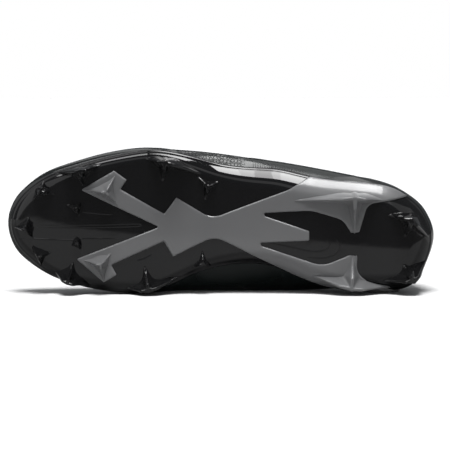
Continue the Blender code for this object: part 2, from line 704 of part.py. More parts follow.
class Throat:
    """Surface over the instep that carries the eyestays across the open throat."""

    def __init__(self):
        """Samples one section for each column between the collar and the vamp."""
        grid = upper_surface()[0]
        columns = grid.shape[1]
        above_swell = 1 + GUIDE_STEPS[1] + GUIDE_STEPS[2]
        first, last = row_of(THROAT_BACK) * STEPS, row_of(VAMP_COVER) * STEPS
        self.numbers = np.arange(math.ceil(first), math.floor(last) + 1)
        reach = TONGUE_HALF_WIDTH + TONGUE_MARGIN
        self.across = np.linspace(-reach, reach, THROAT_SAMPLES)
        self.gap = []
        rows = []
        for i in self.numbers:
            outer, inner = grid[-above_swell:, i], grid[-above_swell:, columns - i]
            rows.append(self.section(outer, inner))
            self.gap.append(np.linalg.norm(outer[-1] - inner[-1]) / 2)
        self.points = np.array(rows)
        normal = unit(np.cross(np.gradient(self.points, axis=0), np.gradient(self.points, axis=1)))
        self.normals = normal * np.sign(normal[..., 2:3])

    def section(self, outer, inner):
        """Evenly spaced points across one station, from the inner side to the outer."""
        arch = []
        if np.linalg.norm(outer[-1] - inner[-1]) > UPPER_WALL:
            for t in ARCH_SHARES:
                arch.append(between(inner[-2], inner[-1], outer[-1], outer[-2], t))
        else:
            inner = inner[:-1]
        line = np.array(list(inner) + arch + list(outer[::-1]))
        length = np.concatenate([[0], np.cumsum(np.linalg.norm(np.diff(line, axis=0), axis=1))])
        middle = (length[len(inner) - 1] + length[len(inner) + len(arch)]) / 2
        if not arch:
            middle = length[len(inner)]
        return np.column_stack([np.interp(self.across + middle, length, line[:, k]) for k in range(3)])

    def at(self, along, across, lift):
        """Point lift over the surface, at a place along and across the throat, and its normal."""
        row = np.clip(row_of(along) * STEPS - self.numbers[0], 0, len(self.numbers) - 1)
        low = min(int(row), len(self.numbers) - 2)
        share = row - low
        point, normal = [], []
        for values, made in ((self.points, point), (self.normals, normal)):
            line = values[low] * (1 - share) + values[low + 1] * share
            made.extend(np.interp(across, self.across, line[:, k]) for k in range(3))
        normal = unit(np.array(normal))
        return np.array(point) + lift * normal, normal

    def half_gap(self, along):
        """Half the throat's width at a place along the shoe."""
        return float(np.interp(row_of(along) * STEPS, self.numbers, self.gap))


def eyelet_posts():
    """Posts that cut the eyelets, square to the wall on both sides of the throat."""
    throat = Throat()
    posts = []
    for along in EYELET_ROWS:
        for side in (-1, 1):
            across = side * (throat.half_gap(along) + EYELET_INSET)
            middle, normal = throat.at(along, across, 0.0)
            made = bmesh.new()
            turn = Vector(normal).to_track_quat("Z", "Y").to_matrix().to_4x4()
            bmesh.ops.create_cone(
                made,
                cap_ends=True,
                segments=EYELET_SIDES,
                radius1=EYELET_RADIUS,
                radius2=EYELET_RADIUS,
                depth=3 * UPPER_WALL,
                matrix=Matrix.Translation(Vector(middle - normal * UPPER_WALL / 2)) @ turn,
            )
            mesh = bpy.data.meshes.new("eyelet_post")
            made.to_mesh(mesh)
            made.free()
            post = bpy.data.objects.new("eyelet_post", mesh)
            bpy.context.scene.collection.objects.link(post)
            posts.append(post)
    return posts


def tongue():
    """Padded tongue: it follows the upper's inside and stands up behind the throat."""
    throat = Throat()
    depth = UPPER_WALL + TONGUE_GAP
    alongs = np.linspace(TONGUE_BEND, TONGUE_FRONT, TONGUE_ROWS)
    across = np.linspace(-TONGUE_HALF_WIDTH, TONGUE_HALF_WIDTH, TONGUE_ACROSS)
    outside = [[throat.at(a, w, -depth)[0] for w in across] for a in alongs]
    inside = [[throat.at(a, w, -depth - TONGUE_THICKNESS)[0] for w in across] for a in alongs]
    for skin_rows in (outside, inside):
        base = np.array(skin_rows[0])
        middle = base[TONGUE_ACROSS // 2]
        for share in TONGUE_CLIMB:
            narrow = base + (middle - base) * share * np.array(TONGUE_NARROW)
            skin_rows.insert(0, narrow + share * TONGUE_REACH * np.array(TONGUE_RISE))
    return slab("tongue", np.array(outside, float), np.array(inside, float))


def slab(name, outside, inside):
    """Closed solid between two grids of points of the same shape."""
    rows, columns = outside.shape[:2]
    index = np.arange(rows * columns).reshape(rows, columns)
    count = rows * columns
    faces = []
    for k in range(rows - 1):
        for i in range(columns - 1):
            face = (index[k, i], index[k, i + 1], index[k + 1, i + 1], index[k + 1, i])
            faces.append(face)
            faces.append(tuple(v + count for v in reversed(face)))
    edge = list(index[0]) + list(index[1:, -1]) + list(index[-1, -2::-1]) + list(index[-2:0:-1, 0])
    for k, v in enumerate(edge):
        after = edge[(k + 1) % len(edge)]
        faces.append((v, v + count, after + count, after))
    return mesh_object(name, np.concatenate([outside.reshape(-1, 3), inside.reshape(-1, 3)]), faces)


def band(name, path, normals):
    """Flat lace along a path, with a flattened round section."""
    path = np.array(path)
    tangent = np.gradient(path, axis=0)
    aside = unit(np.cross(tangent, np.array(normals)))
    up = unit(np.cross(aside, tangent))
    rings = []
    for k in range(LACE_SIDES):
        angle = 2 * math.pi * k / LACE_SIDES
        wide, thick = math.cos(angle) * LACE_WIDTH / 2, math.sin(angle) * LACE_THICKNESS / 2
        rings.append(path + wide * aside + thick * up)
    return tube(name, np.stack(rings, 1))


def tube(name, rings):
    """Closed solid through rings of points, with a flat cap at each end."""
    count, sides = rings.shape[:2]
    faces = [tuple(range(sides)), tuple(range((count - 1) * sides, count * sides))]
    for k in range(count - 1):
        for i in range(sides):
            j = (i + 1) % sides
            faces.append((k * sides + i, k * sides + j, (k + 1) * sides + j, (k + 1) * sides + i))
    return mesh_object(name, rings.reshape(-1, 3), faces)


def lace_bar(throat, along):
    """The lowest bar of the lace, which lies on the tongue between the eyestays."""
    reach = throat.half_gap(along) - LACE_SETBACK
    across = np.linspace(-reach, reach, BAR_SAMPLES)
    return band("lace_bar", *zip(*(throat.at(along, w, LACE_LOW) for w in across)))


def lace_run(throat, name, start, end, side):
    """One run of the lace: from its eyelet, over the edge, down to the tongue at the other edge."""
    first = throat.half_gap(start) + EYELET_INSET
    last = throat.half_gap(end) - LACE_SETBACK
    path = []
    for t in np.linspace(0, 1, LACE_SAMPLES):
        fall = np.interp(t, LACE_FALL, (0, 1))
        fall = fall * fall * (3 - 2 * fall)
        level = LACE_HIGH + (LACE_LOW - LACE_HIGH) * fall
        path.append(throat.at(start + (end - start) * t, side * (first - (first + last) * t), level))
    return band(name, *zip(*path))


def laces():
    """The lowest bar and the crossings above it, each one solid."""
    throat = Throat()
    made = [lace_bar(throat, EYELET_ROWS[-1])]
    for k in range(len(EYELET_ROWS) - 1):
        start, end = EYELET_ROWS[-1 - k], EYELET_ROWS[-2 - k]
        crossing = lace_run(throat, f"lace_crossing_{k + 1}", start, end, 1)
        cut(crossing, lace_run(throat, "lace_second", start, end, -1), "UNION")
        made.append(crossing)
    return made


def volume_centre(thing):
    """Volume and its centre for one closed object."""
    thing.data.calc_loop_triangles()
    points = np.array([v.co for v in thing.data.vertices])
    corners = points[[tuple(t.vertices) for t in thing.data.loop_triangles]]
    volumes = np.einsum("ij,ij->i", corners[:, 0], np.cross(corners[:, 1], corners[:, 2])) / 6
    centre = (volumes[:, None] * corners.sum(1) / 4).sum(0) / volumes.sum()
    return volumes.sum(), centre


def resting_turn(pieces):
    """Rotation that lays the standing shoe on its inner side, on the hull face under its centre."""
    lying = Matrix(((-1, 0, 0), (0, 0, 1), (0, 1, 0)))
    weights, centres = zip(*(volume_centre(piece) for piece in pieces))
    centre = lying @ Vector(np.average(centres, axis=0, weights=weights))
    hull = bmesh.new()
    for piece in pieces:
        for vertex in piece.data.vertices:
            hull.verts.new(lying @ vertex.co)
    made = bmesh.ops.convex_hull(hull, input=hull.verts)
    faces = [part for part in made["geom"] if isinstance(part, bmesh.types.BMFace)]
    hull.normal_update()
    best, turn = -1.0, None
    for face in faces:
        normal = face.normal.copy()
        if normal.dot(face.calc_center_median() - centre) < 0:
            normal.negate()
        foot = centre + normal * normal.dot(face.verts[0].co - centre)
        if -normal.z > best and covers(face, foot, normal):
            best, turn = -normal.z, normal.rotation_difference(Vector((0, 0, -1))).to_matrix()
    hull.free()
    return (turn @ lying).to_4x4()


def covers(face, foot, normal):
    """Whether a hull face holds a point of its own plane."""
    corners = [v.co for v in face.verts]
    sides = []
    for k, corner in enumerate(corners):
        after = corners[(k + 1) % len(corners)]
        sides.append((after - corner).cross(foot - corner).dot(normal))
    return all(side >= 0 for side in sides) or all(side <= 0 for side in sides)


def lay_down(pieces):
    """Parents the pieces to an empty that lays the shoe on the ground, centred over the origin."""
    turn = resting_turn(pieces)
    points = np.array([turn @ v.co for piece in pieces for v in piece.data.vertices])
    low, high = points.min(0), points.max(0)
    rest = bpy.data.objects.new("resting_place", None)
    bpy.context.scene.collection.objects.link(rest)
    middle = (low + high) / 2
    rest.matrix_world = Matrix.Translation((-middle[0], -middle[1], -low[2])) @ turn
    for piece in pieces:
        piece.parent = rest


def main():
    """Builds every piece, lays the shoe down and gives each piece its material."""
    for thing in list(bpy.data.objects):
        bpy.data.objects.remove(thing)
    pieces = [sole_plate(), chassis(), upper(), insole(), tongue(), *laces()]
    lay_down(pieces)
    black = material("gloss_black_plate", (0.012, 0.012, 0.013), 0.12)
    grey = material("grey_chassis", (0.13, 0.13, 0.13), 0.3)
    skin_black = material("black_upper", (0.015, 0.018, 0.018), 0.25)
    cloth = material("black_cloth", (0.02, 0.02, 0.02), 0.8)
    looks = {"sole_plate": black, "chassis": grey, "upper": skin_black}
    for piece in pieces:
        piece.data.materials.clear()
        piece.data.materials.append(looks.get(piece.name, cloth))


main()
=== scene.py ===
"""Dressed model of a left american football cleat, lying on its inner side.

The pieces are shaped on the standing shoe: x runs from the heel at 0 to the toe, y points
to the outer side of the foot, z is up, and z = 0 is the plane of the main stud tips. Each
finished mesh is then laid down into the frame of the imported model.
"""

from __future__ import annotations

import logging
import math
from dataclasses import dataclass, field
from enum import Enum
from typing import NamedTuple, Sequence

import bmesh
import bpy
import numpy as np
from mathutils import Matrix, Vector, geometry

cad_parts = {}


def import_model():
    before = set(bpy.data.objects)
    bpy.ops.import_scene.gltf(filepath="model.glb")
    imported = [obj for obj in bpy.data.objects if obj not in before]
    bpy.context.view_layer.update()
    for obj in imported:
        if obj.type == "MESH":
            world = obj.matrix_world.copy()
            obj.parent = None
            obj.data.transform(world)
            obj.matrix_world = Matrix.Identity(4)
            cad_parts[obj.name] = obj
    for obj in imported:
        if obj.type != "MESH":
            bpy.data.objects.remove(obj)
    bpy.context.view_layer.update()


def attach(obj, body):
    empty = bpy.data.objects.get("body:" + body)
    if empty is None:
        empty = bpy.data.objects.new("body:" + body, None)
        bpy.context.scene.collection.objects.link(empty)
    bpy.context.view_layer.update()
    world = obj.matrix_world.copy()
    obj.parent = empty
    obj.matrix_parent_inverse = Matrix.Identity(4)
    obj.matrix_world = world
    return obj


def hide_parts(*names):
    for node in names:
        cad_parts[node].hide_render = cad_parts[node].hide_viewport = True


LOG = logging.getLogger("cleat")
Array = np.ndarray
Face = Sequence[int]
BODY = "root"


class SoleRow(NamedTuple):
    """Section of the sole: place as a share of the length, then shares of named sizes."""

    along: float
    outer: float
    inner: float
    arch: float
    lift: float
    cup: float
    zone: float


SOLE = [
    SoleRow(0.000, -0.090, 0.090, 0.00, 0.25, 1.00, 1.00),
    SoleRow(0.012, 0.045, 0.245, 0.00, 0.22, 1.00, 1.00),
    SoleRow(0.036, 0.150, 0.385, 0.00, 0.15, 1.00, 1.00),
    SoleRow(0.075, 0.236, 0.445, 0.00, 0.05, 1.00, 1.00),
    SoleRow(0.125, 0.290, 0.458, 0.00, 0.00, 0.95, 1.00),
    SoleRow(0.210, 0.314, 0.445, 0.10, 0.00, 0.90, 1.00),
    SoleRow(0.290, 0.343, 0.386, 0.45, 0.00, 0.95, 1.00),
    SoleRow(0.360, 0.388, 0.305, 0.80, 0.00, 0.95, 0.95),
    SoleRow(0.420, 0.402, 0.272, 1.00, 0.00, 0.90, 0.90),
    SoleRow(0.490, 0.424, 0.280, 0.90, 0.00, 0.75, 0.80),
    SoleRow(0.550, 0.470, 0.320, 0.55, 0.00, 0.60, 0.70),
    SoleRow(0.600, 0.510, 0.380, 0.25, 0.00, 0.50, 0.60),
    SoleRow(0.655, 0.535, 0.448, 0.05, 0.00, 0.45, 0.55),
    SoleRow(0.710, 0.520, 0.462, 0.00, 0.00, 0.42, 0.50),
    SoleRow(0.780, 0.477, 0.442, 0.00, 0.08, 0.40, 0.50),
    SoleRow(0.850, 0.416, 0.395, 0.00, 0.25, 0.40, 0.50),
    SoleRow(0.910, 0.346, 0.328, 0.00, 0.50, 0.42, 0.55),
    SoleRow(0.955, 0.254, 0.232, 0.00, 0.75, 0.45, 0.60),
    SoleRow(0.985, 0.151, 0.140, 0.00, 0.92, 0.48, 0.60),
    SoleRow(1.000, 0.005, -0.005, 0.00, 1.00, 0.50, 0.60),
]


class UpperRow(NamedTuple):
    """Section of the upper: distances to both sides and height of three guide lines."""

    swell_outer: float
    swell_inner: float
    swell_up: float
    shoulder_outer: float
    shoulder_inner: float
    shoulder_up: float
    top_outer: float
    top_inner: float
    top_up: float


UPPER = [
    UpperRow(-0.085, 0.085, 0.33, -0.080, 0.080, 0.62, -0.075, 0.075, 0.90),
    UpperRow(0.042, 0.235, 0.33, 0.025, 0.205, 0.62, 0.015, 0.170, 0.89),
    UpperRow(0.143, 0.365, 0.33, 0.112, 0.315, 0.61, 0.085, 0.250, 0.865),
    UpperRow(0.226, 0.427, 0.33, 0.190, 0.378, 0.59, 0.148, 0.310, 0.815),
    UpperRow(0.289, 0.445, 0.33, 0.250, 0.402, 0.565, 0.198, 0.350, 0.745),
    UpperRow(0.343, 0.462, 0.34, 0.303, 0.428, 0.545, 0.248, 0.370, 0.685),
    UpperRow(0.385, 0.480, 0.37, 0.333, 0.448, 0.600, 0.255, 0.365, 0.735),
    UpperRow(0.419, 0.490, 0.40, 0.330, 0.418, 0.705, 0.202, 0.272, 0.890),
    UpperRow(0.442, 0.490, 0.39, 0.323, 0.385, 0.745, 0.142, 0.177, 0.985),
    UpperRow(0.476, 0.485, 0.35, 0.338, 0.364, 0.695, 0.122, 0.137, 0.945),
    UpperRow(0.500, 0.480, 0.31, 0.358, 0.362, 0.635, 0.112, 0.117, 0.865),
    UpperRow(0.513, 0.475, 0.27, 0.378, 0.357, 0.575, 0.102, 0.097, 0.785),
    UpperRow(0.524, 0.475, 0.24, 0.390, 0.348, 0.515, 0.085, 0.065, 0.715),
    UpperRow(0.521, 0.470, 0.22, 0.380, 0.338, 0.475, 0.010, -0.010, 0.650),
    UpperRow(0.484, 0.450, 0.215, 0.346, 0.318, 0.435, 0.010, -0.010, 0.570),
    UpperRow(0.424, 0.405, 0.220, 0.290, 0.283, 0.410, 0.008, -0.008, 0.505),
    UpperRow(0.354, 0.338, 0.235, 0.225, 0.222, 0.390, 0.006, -0.006, 0.467),
    UpperRow(0.258, 0.253, 0.247, 0.148, 0.152, 0.377, 0.004, -0.004, 0.448),
    UpperRow(0.156, 0.157, 0.253, 0.076, 0.086, 0.370, 0.003, -0.003, 0.436),
    UpperRow(0.003, -0.003, 0.253, 0.002, -0.002, 0.364, 0.001, -0.001, 0.429),
]


class Reach(Enum):
    """How far a stud stands out."""

    MAIN = "main"
    TOE = "toe"
    SMALL = "small"


class Side(Enum):
    """Side of the foot, as the sign of y."""

    OUTER = 1
    INNER = -1


class Stud(NamedTuple):
    """A three-armed stud: middle of the tip and ends of the arms, as shares."""

    name: str
    reach: Reach
    tip: float
    middle: tuple[float, float]
    first: tuple[float, float]
    second: tuple[float, float]
    third: tuple[float, float]


MAIN, TOE, SMALL = Reach.MAIN, Reach.TOE, Reach.SMALL
PLATE_STUDS = [
    Stud("toe_outer", TOE, 0.0016, (0.919, 0.259), (0.916, 0.317), (0.941, 0.179), (0.889, 0.226)),
    Stud("toe_middle", TOE, 0.0016, (0.957, -0.010), (0.951, 0.066), (0.985, -0.014), (0.941, -0.079)),
    Stud("toe_inner", TOE, 0.0016, (0.926, -0.199), (0.943, -0.133), (0.899, -0.177), (0.923, -0.279)),
    Stud("low_outer", SMALL, 0.0014, (0.838, 0.135), (0.860, 0.157), (0.825, 0.168), (0.831, 0.084)),
    Stud("low_inner", SMALL, 0.0014, (0.836, -0.103), (0.839, -0.066), (0.849, -0.124), (0.828, -0.152)),
    Stud("front_outer", MAIN, 0.0026, (0.826, 0.408), (0.885, 0.373), (0.781, 0.435), (0.823, 0.295)),
    Stud("front_inner", MAIN, 0.0026, (0.858, -0.368), (0.889, -0.316), (0.806, -0.414), (0.847, -0.246)),
    Stud("ball_outer", MAIN, 0.0034, (0.631, 0.470), (0.675, 0.480), (0.546, 0.372), (0.637, 0.328)),
    Stud("ball_inner", MAIN, 0.0034, (0.669, -0.422), (0.722, -0.425), (0.597, -0.345), (0.679, -0.268)),
    Stud("rear_outer", SMALL, 0.0024, (0.532, 0.288), (0.557, 0.357), (0.507, 0.317), (0.538, 0.193)),
    Stud("rear_inner", SMALL, 0.0020, (0.543, -0.245), (0.545, -0.162), (0.567, -0.278), (0.525, -0.271)),
    Stud("heel_outer", MAIN, 0.0034, (0.060, 0.075), (0.112, 0.095), (0.072, -0.052), (0.016, -0.070)),
    Stud("heel_inner", MAIN, 0.0034, (0.053, -0.350), (0.122, -0.372), (0.074, -0.255), (0.018, -0.240)),
]
CHASSIS_STUDS = [
    Stud("arm_outer", MAIN, 0.0016, (0.768, 0.262), (0.748, 0.360), (0.816, 0.262), (0.742, 0.162)),
    Stud("arm_inner", MAIN, 0.0016, (0.781, -0.241), (0.758, -0.180), (0.820, -0.228), (0.774, -0.366)),
    Stud("waist_outer", MAIN, 0.0050, (0.191, 0.224), (0.330, 0.190), (0.125, 0.200), (0.190, -0.028)),
    Stud("waist_inner", MAIN, 0.0050, (0.197, -0.405), (0.300, -0.330), (0.105, -0.420), (0.193, -0.193)),
]


class Corner(NamedTuple):
    """Corner of the chassis's outline, as shares, with its radius in metres."""

    along: float
    across: float
    radius: float


CHASSIS = [
    Corner(0.8274, 0.262, 0.0010),
    Corner(0.7498, 0.397, 0.0006),
    Corner(0.7204, 0.335, 0.0006),
    Corner(0.7351, 0.269, 0.0010),
    Corner(0.6333, 0.098, 0.0010),
    Corner(0.6052, 0.212, 0.0004),
    Corner(0.5230, 0.062, 0.0160),
    Corner(0.3424, 0.265, 0.0100),
    Corner(0.2900, 0.345, 0.0020),
    Corner(0.2700, 0.520, 0.0020),
    Corner(0.0600, 0.420, 0.0020),
    Corner(0.0680, 0.205, 0.0010),
    Corner(0.1600, 0.172, 0.0080),
    Corner(0.1790, -0.024, 0.0006),
    Corner(0.1980, -0.030, 0.0006),
    Corner(0.2170, 0.060, 0.0120),
    Corner(0.2900, 0.122, 0.0300),
    Corner(0.4010, 0.101, 0.0010),
    Corner(0.3990, 0.080, 0.0010),
    Corner(0.2950, -0.022, 0.0012),
    Corner(0.2950, -0.088, 0.0012),
    Corner(0.4090, -0.107, 0.0012),
    Corner(0.4070, -0.129, 0.0012),
    Corner(0.2640, -0.265, 0.0200),
    Corner(0.2010, -0.185, 0.0030),
    Corner(0.1830, -0.190, 0.0006),
    Corner(0.1840, -0.310, 0.0100),
    Corner(0.1450, -0.400, 0.0100),
    Corner(0.0800, -0.456, 0.0010),
    Corner(0.0800, -0.540, 0.0010),
    Corner(0.2600, -0.540, 0.0100),
    Corner(0.3300, -0.335, 0.0100),
    Corner(0.5170, -0.060, 0.0160),
    Corner(0.6133, -0.199, 0.0004),
    Corner(0.6345, -0.090, 0.0010),
    Corner(0.7570, -0.257, 0.0010),
    Corner(0.7444, -0.326, 0.0006),
    Corner(0.7743, -0.380, 0.0006),
    Corner(0.8391, -0.220, 0.0010),
    Corner(0.6455, 0.008, 0.0010),
]


@dataclass(frozen=True)
class ShoeSizes:
    """Driving sizes of the shoe, in metres."""

    length: float = 0.292
    ball_width: float = 0.099
    upper_height: float = 0.077
    stud_height: float = 0.0115
    small_stud_height: float = 0.0055
    toe_stud_share: float = 0.85
    arch_rise: float = 0.0045
    toe_spring: float = 0.009
    cup_height: float = 0.012
    cup_zone: float = 0.0135
    cup_curve: float = 2.2
    rim_inset: float = 0.0015
    plate_wall: float = 0.0020
    chassis_wall: float = 0.0012
    upper_wall: float = 0.0018
    collar_pad: float = 0.0045
    insole_thickness: float = 0.0035
    tongue_thickness: float = 0.0040
    tongue_gap: float = 0.0012
    tongue_half_width: float = 0.0215
    tongue_reach: float = 0.024
    lace_width: float = 0.0055
    lace_thickness: float = 0.0014
    eyelet_radius: float = 0.0021
    eyelet_inset: float = 0.0065
    seat_gap: float = 0.0003
    throat_back: float = 0.36
    throat_front: float = 0.71
    vamp_cover: float = 0.78
    tongue_bend: float = 0.370
    eyelet_rows: tuple[float, ...] = (0.410, 0.456, 0.502, 0.548, 0.594, 0.640)


SIZES = ShoeSizes()


@dataclass(frozen=True)
class Resting:
    """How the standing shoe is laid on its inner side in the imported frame."""

    lean_deg: float = 5.01295
    axis_deg: float = 1.5897
    move: tuple[float, float, float] = (0.146006, -0.048990, 0.044452)

    def matrix(self) -> Matrix:
        """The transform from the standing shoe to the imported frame.

        Returns:
            A matrix with a turn and a move.
        """
        lying = Matrix(((-1, 0, 0), (0, 0, 1), (0, 1, 0)))
        heading = math.radians(self.axis_deg)
        axis = Vector((math.cos(heading), math.sin(heading), 0))
        turn = Matrix.Rotation(math.radians(self.lean_deg), 3, axis)
        return Matrix.Translation(self.move) @ (turn @ lying).to_4x4()


LAID = Resting().matrix()


def hermite(start: Array, start_slope: Array, end: Array, end_slope: Array, t: Array | float) -> Array:
    """Point at t on the cubic curve between two ends with given slopes."""
    return (
        (2 * t**3 - 3 * t**2 + 1) * start
        + (t**3 - 2 * t**2 + t) * start_slope
        + (3 * t**2 - 2 * t**3) * end
        + (t**3 - t**2) * end_slope
    )


def closed_curve(points: Sequence, steps: int) -> Array:
    """Samples the smooth closed curve through some points.

    Args:
        points: Points that the curve passes through, in order.
        steps: Samples for each point.

    Returns:
        One row for each sample, starting at the first point.
    """
    points = np.asarray(points, float)
    count = len(points)
    system = 4 * np.eye(count) + np.roll(np.eye(count), 1, 0) + np.roll(np.eye(count), -1, 0)
    slopes = np.linalg.solve(system, 3 * (np.roll(points, -1, 0) - np.roll(points, 1, 0)))
    after, after_slopes = np.roll(points, -1, 0), np.roll(slopes, -1, 0)
    samples = [hermite(points, slopes, after, after_slopes, k / steps) for k in range(steps)]
    return np.stack(samples, 1).reshape(count * steps, -1)


def ring_of(outer: Sequence, inner: Sequence) -> Array:
    """Closed ring: heel, outer side to the toe, then the inner side back to the heel."""
    return np.array(list(outer) + list(inner)[-2:0:-1])


def unit(vectors: Array) -> Array:
    """Vectors made one long, along the last axis."""
    return vectors / np.maximum(np.linalg.norm(vectors, axis=-1, keepdims=True), 1e-12)


def plan_point(along: float, across: float) -> Array:
    """Plan point in metres from shares of the length and of the ball's width."""
    return np.array([along * SIZES.length, across * SIZES.ball_width])


def between(before: Array, start: Array, end: Array, after: Array, t: Array) -> Array:
    """Point at t between start and end, on the smooth curve that also passes before and after."""
    return 0.5 * (
        2 * start
        + (end - before) * t
        + (2 * before - 5 * start + 4 * end - after) * t**2
        + (3 * start - before - 3 * end + after) * t**3
    )


def open_curve(points: Sequence, count: int) -> Array:
    """Samples the smooth open curve through some points.

    Args:
        points: Points that the curve passes through, in order.
        count: Number of samples.

    Returns:
        One row for each sample.
    """
    points = np.asarray(points, float)
    padded = np.vstack([2 * points[0] - points[1], points, 2 * points[-1] - points[-2]])
    samples = []
    for value in np.linspace(0, len(points) - 1, count):
        k = min(int(value), len(points) - 2)
        samples.append(between(*padded[k : k + 4], value - k))
    return np.array(samples)


def soften(points: Array, rounds: int) -> None:
    """Smooths points in place along the first axis, with both ends kept."""
    for _ in range(rounds):
        points[1:-1] = (points[:-2] + 2 * points[1:-1] + points[2:]) / 4


def taper(count: int, reach: float, least: float) -> Array:
    """Shares that rise from least to 1 over the first samples of a row, and fall at its end."""
    number = np.arange(count)
    return np.clip(np.minimum(number, count - 1 - number) / reach, least, 1)


def full_turn(count: int) -> Array:
    """Angles spread evenly over one turn."""
    return np.linspace(0, 2 * math.pi, count, endpoint=False)


def square_to(ring: Array) -> Array:
    """Directions in plan that are square to a closed ring, to the right of its way round."""
    tangent = unit(np.roll(ring, -1, 0) - np.roll(ring, 1, 0))
    return np.column_stack([tangent[:, 1], -tangent[:, 0]])


def linked(name: str, data: bpy.types.ID) -> bpy.types.Object:
    """Makes an object at the origin and links it to the scene."""
    made = bpy.data.objects.new(name, data)
    bpy.context.scene.collection.objects.link(made)
    return made


def shade(mesh: bpy.types.Mesh, sharp_deg: float) -> None:
    """Shades a mesh smooth, apart from edges that turn by more than an angle."""
    mesh.shade_smooth()
    mesh.set_sharp_from_angle(angle=math.radians(sharp_deg))


def grid_faces(rows: int, columns: int, closed: bool, first: int = 0) -> list[Face]:
    """Quads between neighbouring rows of points.

    Args:
        rows: Number of rows.
        columns: Points in each row.
        closed: Whether each row runs round to its own start.
        first: Index of the first point.

    Returns:
        The faces as indices.
    """
    faces = []
    for k in range(rows - 1):
        for i in range(columns if closed else columns - 1):
            j = (i + 1) % columns
            here, there = first + k * columns, first + (k + 1) * columns
            faces.append((here + i, here + j, there + j, there + i))
    return faces


class Mould:
    """Collects points and faces of one piece and turns them into an object."""

    def __init__(self) -> None:
        """Starts empty."""
        self.points: list[Array] = []
        self.faces: list[Face] = []
        self.count = 0

    def add(self, points: Array, faces: Sequence[Face]) -> int:
        """Adds a patch with its own indices.

        Args:
            points: The patch's points.
            faces: Its faces, counted from its first point.

        Returns:
            The index of the patch's first point in the piece.
        """
        first = self.count
        self.points.append(np.asarray(points, float).reshape(-1, 3))
        self.faces += [tuple(int(i) + first for i in face) for face in faces]
        self.count += len(self.points[-1])
        return first

    def tube(self, rings: Array) -> None:
        """Adds a closed solid through rings of points, with a cap at each end.

        Args:
            rings: Points of each ring, all of one number.
        """
        count, sides = rings.shape[:2]
        faces = grid_faces(count, sides, True)
        faces += [tuple(range(sides)), tuple(range((count - 1) * sides, count * sides))]
        self.add(rings, faces)

    def slab(self, outside: Array, inside: Array) -> None:
        """Adds a closed sheet between two grids of points.

        Args:
            outside: Rows of points on the outer face.
            inside: The points behind them.
        """
        rows, columns = outside.shape[:2]
        faces = grid_faces(rows, columns, False)
        near = self.add(outside, faces)
        far = self.add(inside, [tuple(reversed(face)) for face in faces]) - near
        index = near + np.arange(rows * columns).reshape(rows, columns)
        loop = [int(v) for v in (*index[0], *index[1:, -1], *index[-1, -2::-1], *index[-2:0:-1, 0])]
        for v, after in zip(loop, loop[1:] + loop[:1]):
            self.faces.append((v, v + far, after + far, after))

    def finish(self, name: str, sharp_deg: float) -> bpy.types.Object:
        """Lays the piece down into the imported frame.

        Args:
            name: The object's name.
            sharp_deg: Edges that turn by more than this stay sharp.

        Returns:
            The new object, at the origin.
        """
        mesh = bpy.data.meshes.new(name)
        mesh.from_pydata(np.concatenate(self.points).tolist(), [], self.faces)
        mesh.transform(LAID)
        press_on_floor(mesh)
        made = bmesh.new()
        made.from_mesh(mesh)
        loose = [v for v in made.verts if not v.link_faces]
        bmesh.ops.delete(made, geom=loose, context="VERTS")
        bmesh.ops.recalc_face_normals(made, faces=made.faces)
        made.to_mesh(mesh)
        made.free()
        shade(mesh, sharp_deg)
        return linked(name, mesh)


def press_on_floor(mesh: bpy.types.Mesh, soft: float = 0.0008) -> None:
    """Flattens softly what would reach under the floor.

    Args:
        mesh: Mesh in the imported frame.
        soft: Height below which points are pressed together.
    """
    for vertex in mesh.vertices:
        if vertex.co.z < soft:
            vertex.co.z = soft * math.exp((vertex.co.z - soft) / soft)


def bake_modifiers(piece: bpy.types.Object) -> None:
    """Puts the result of a piece's modifiers into its mesh.

    Args:
        piece: The object, left without modifiers.
    """
    bpy.context.view_layer.update()
    graph = bpy.context.evaluated_depsgraph_get()
    mesh = bpy.data.meshes.new_from_object(piece.evaluated_get(graph))
    piece.modifiers.clear()
    piece.data = mesh


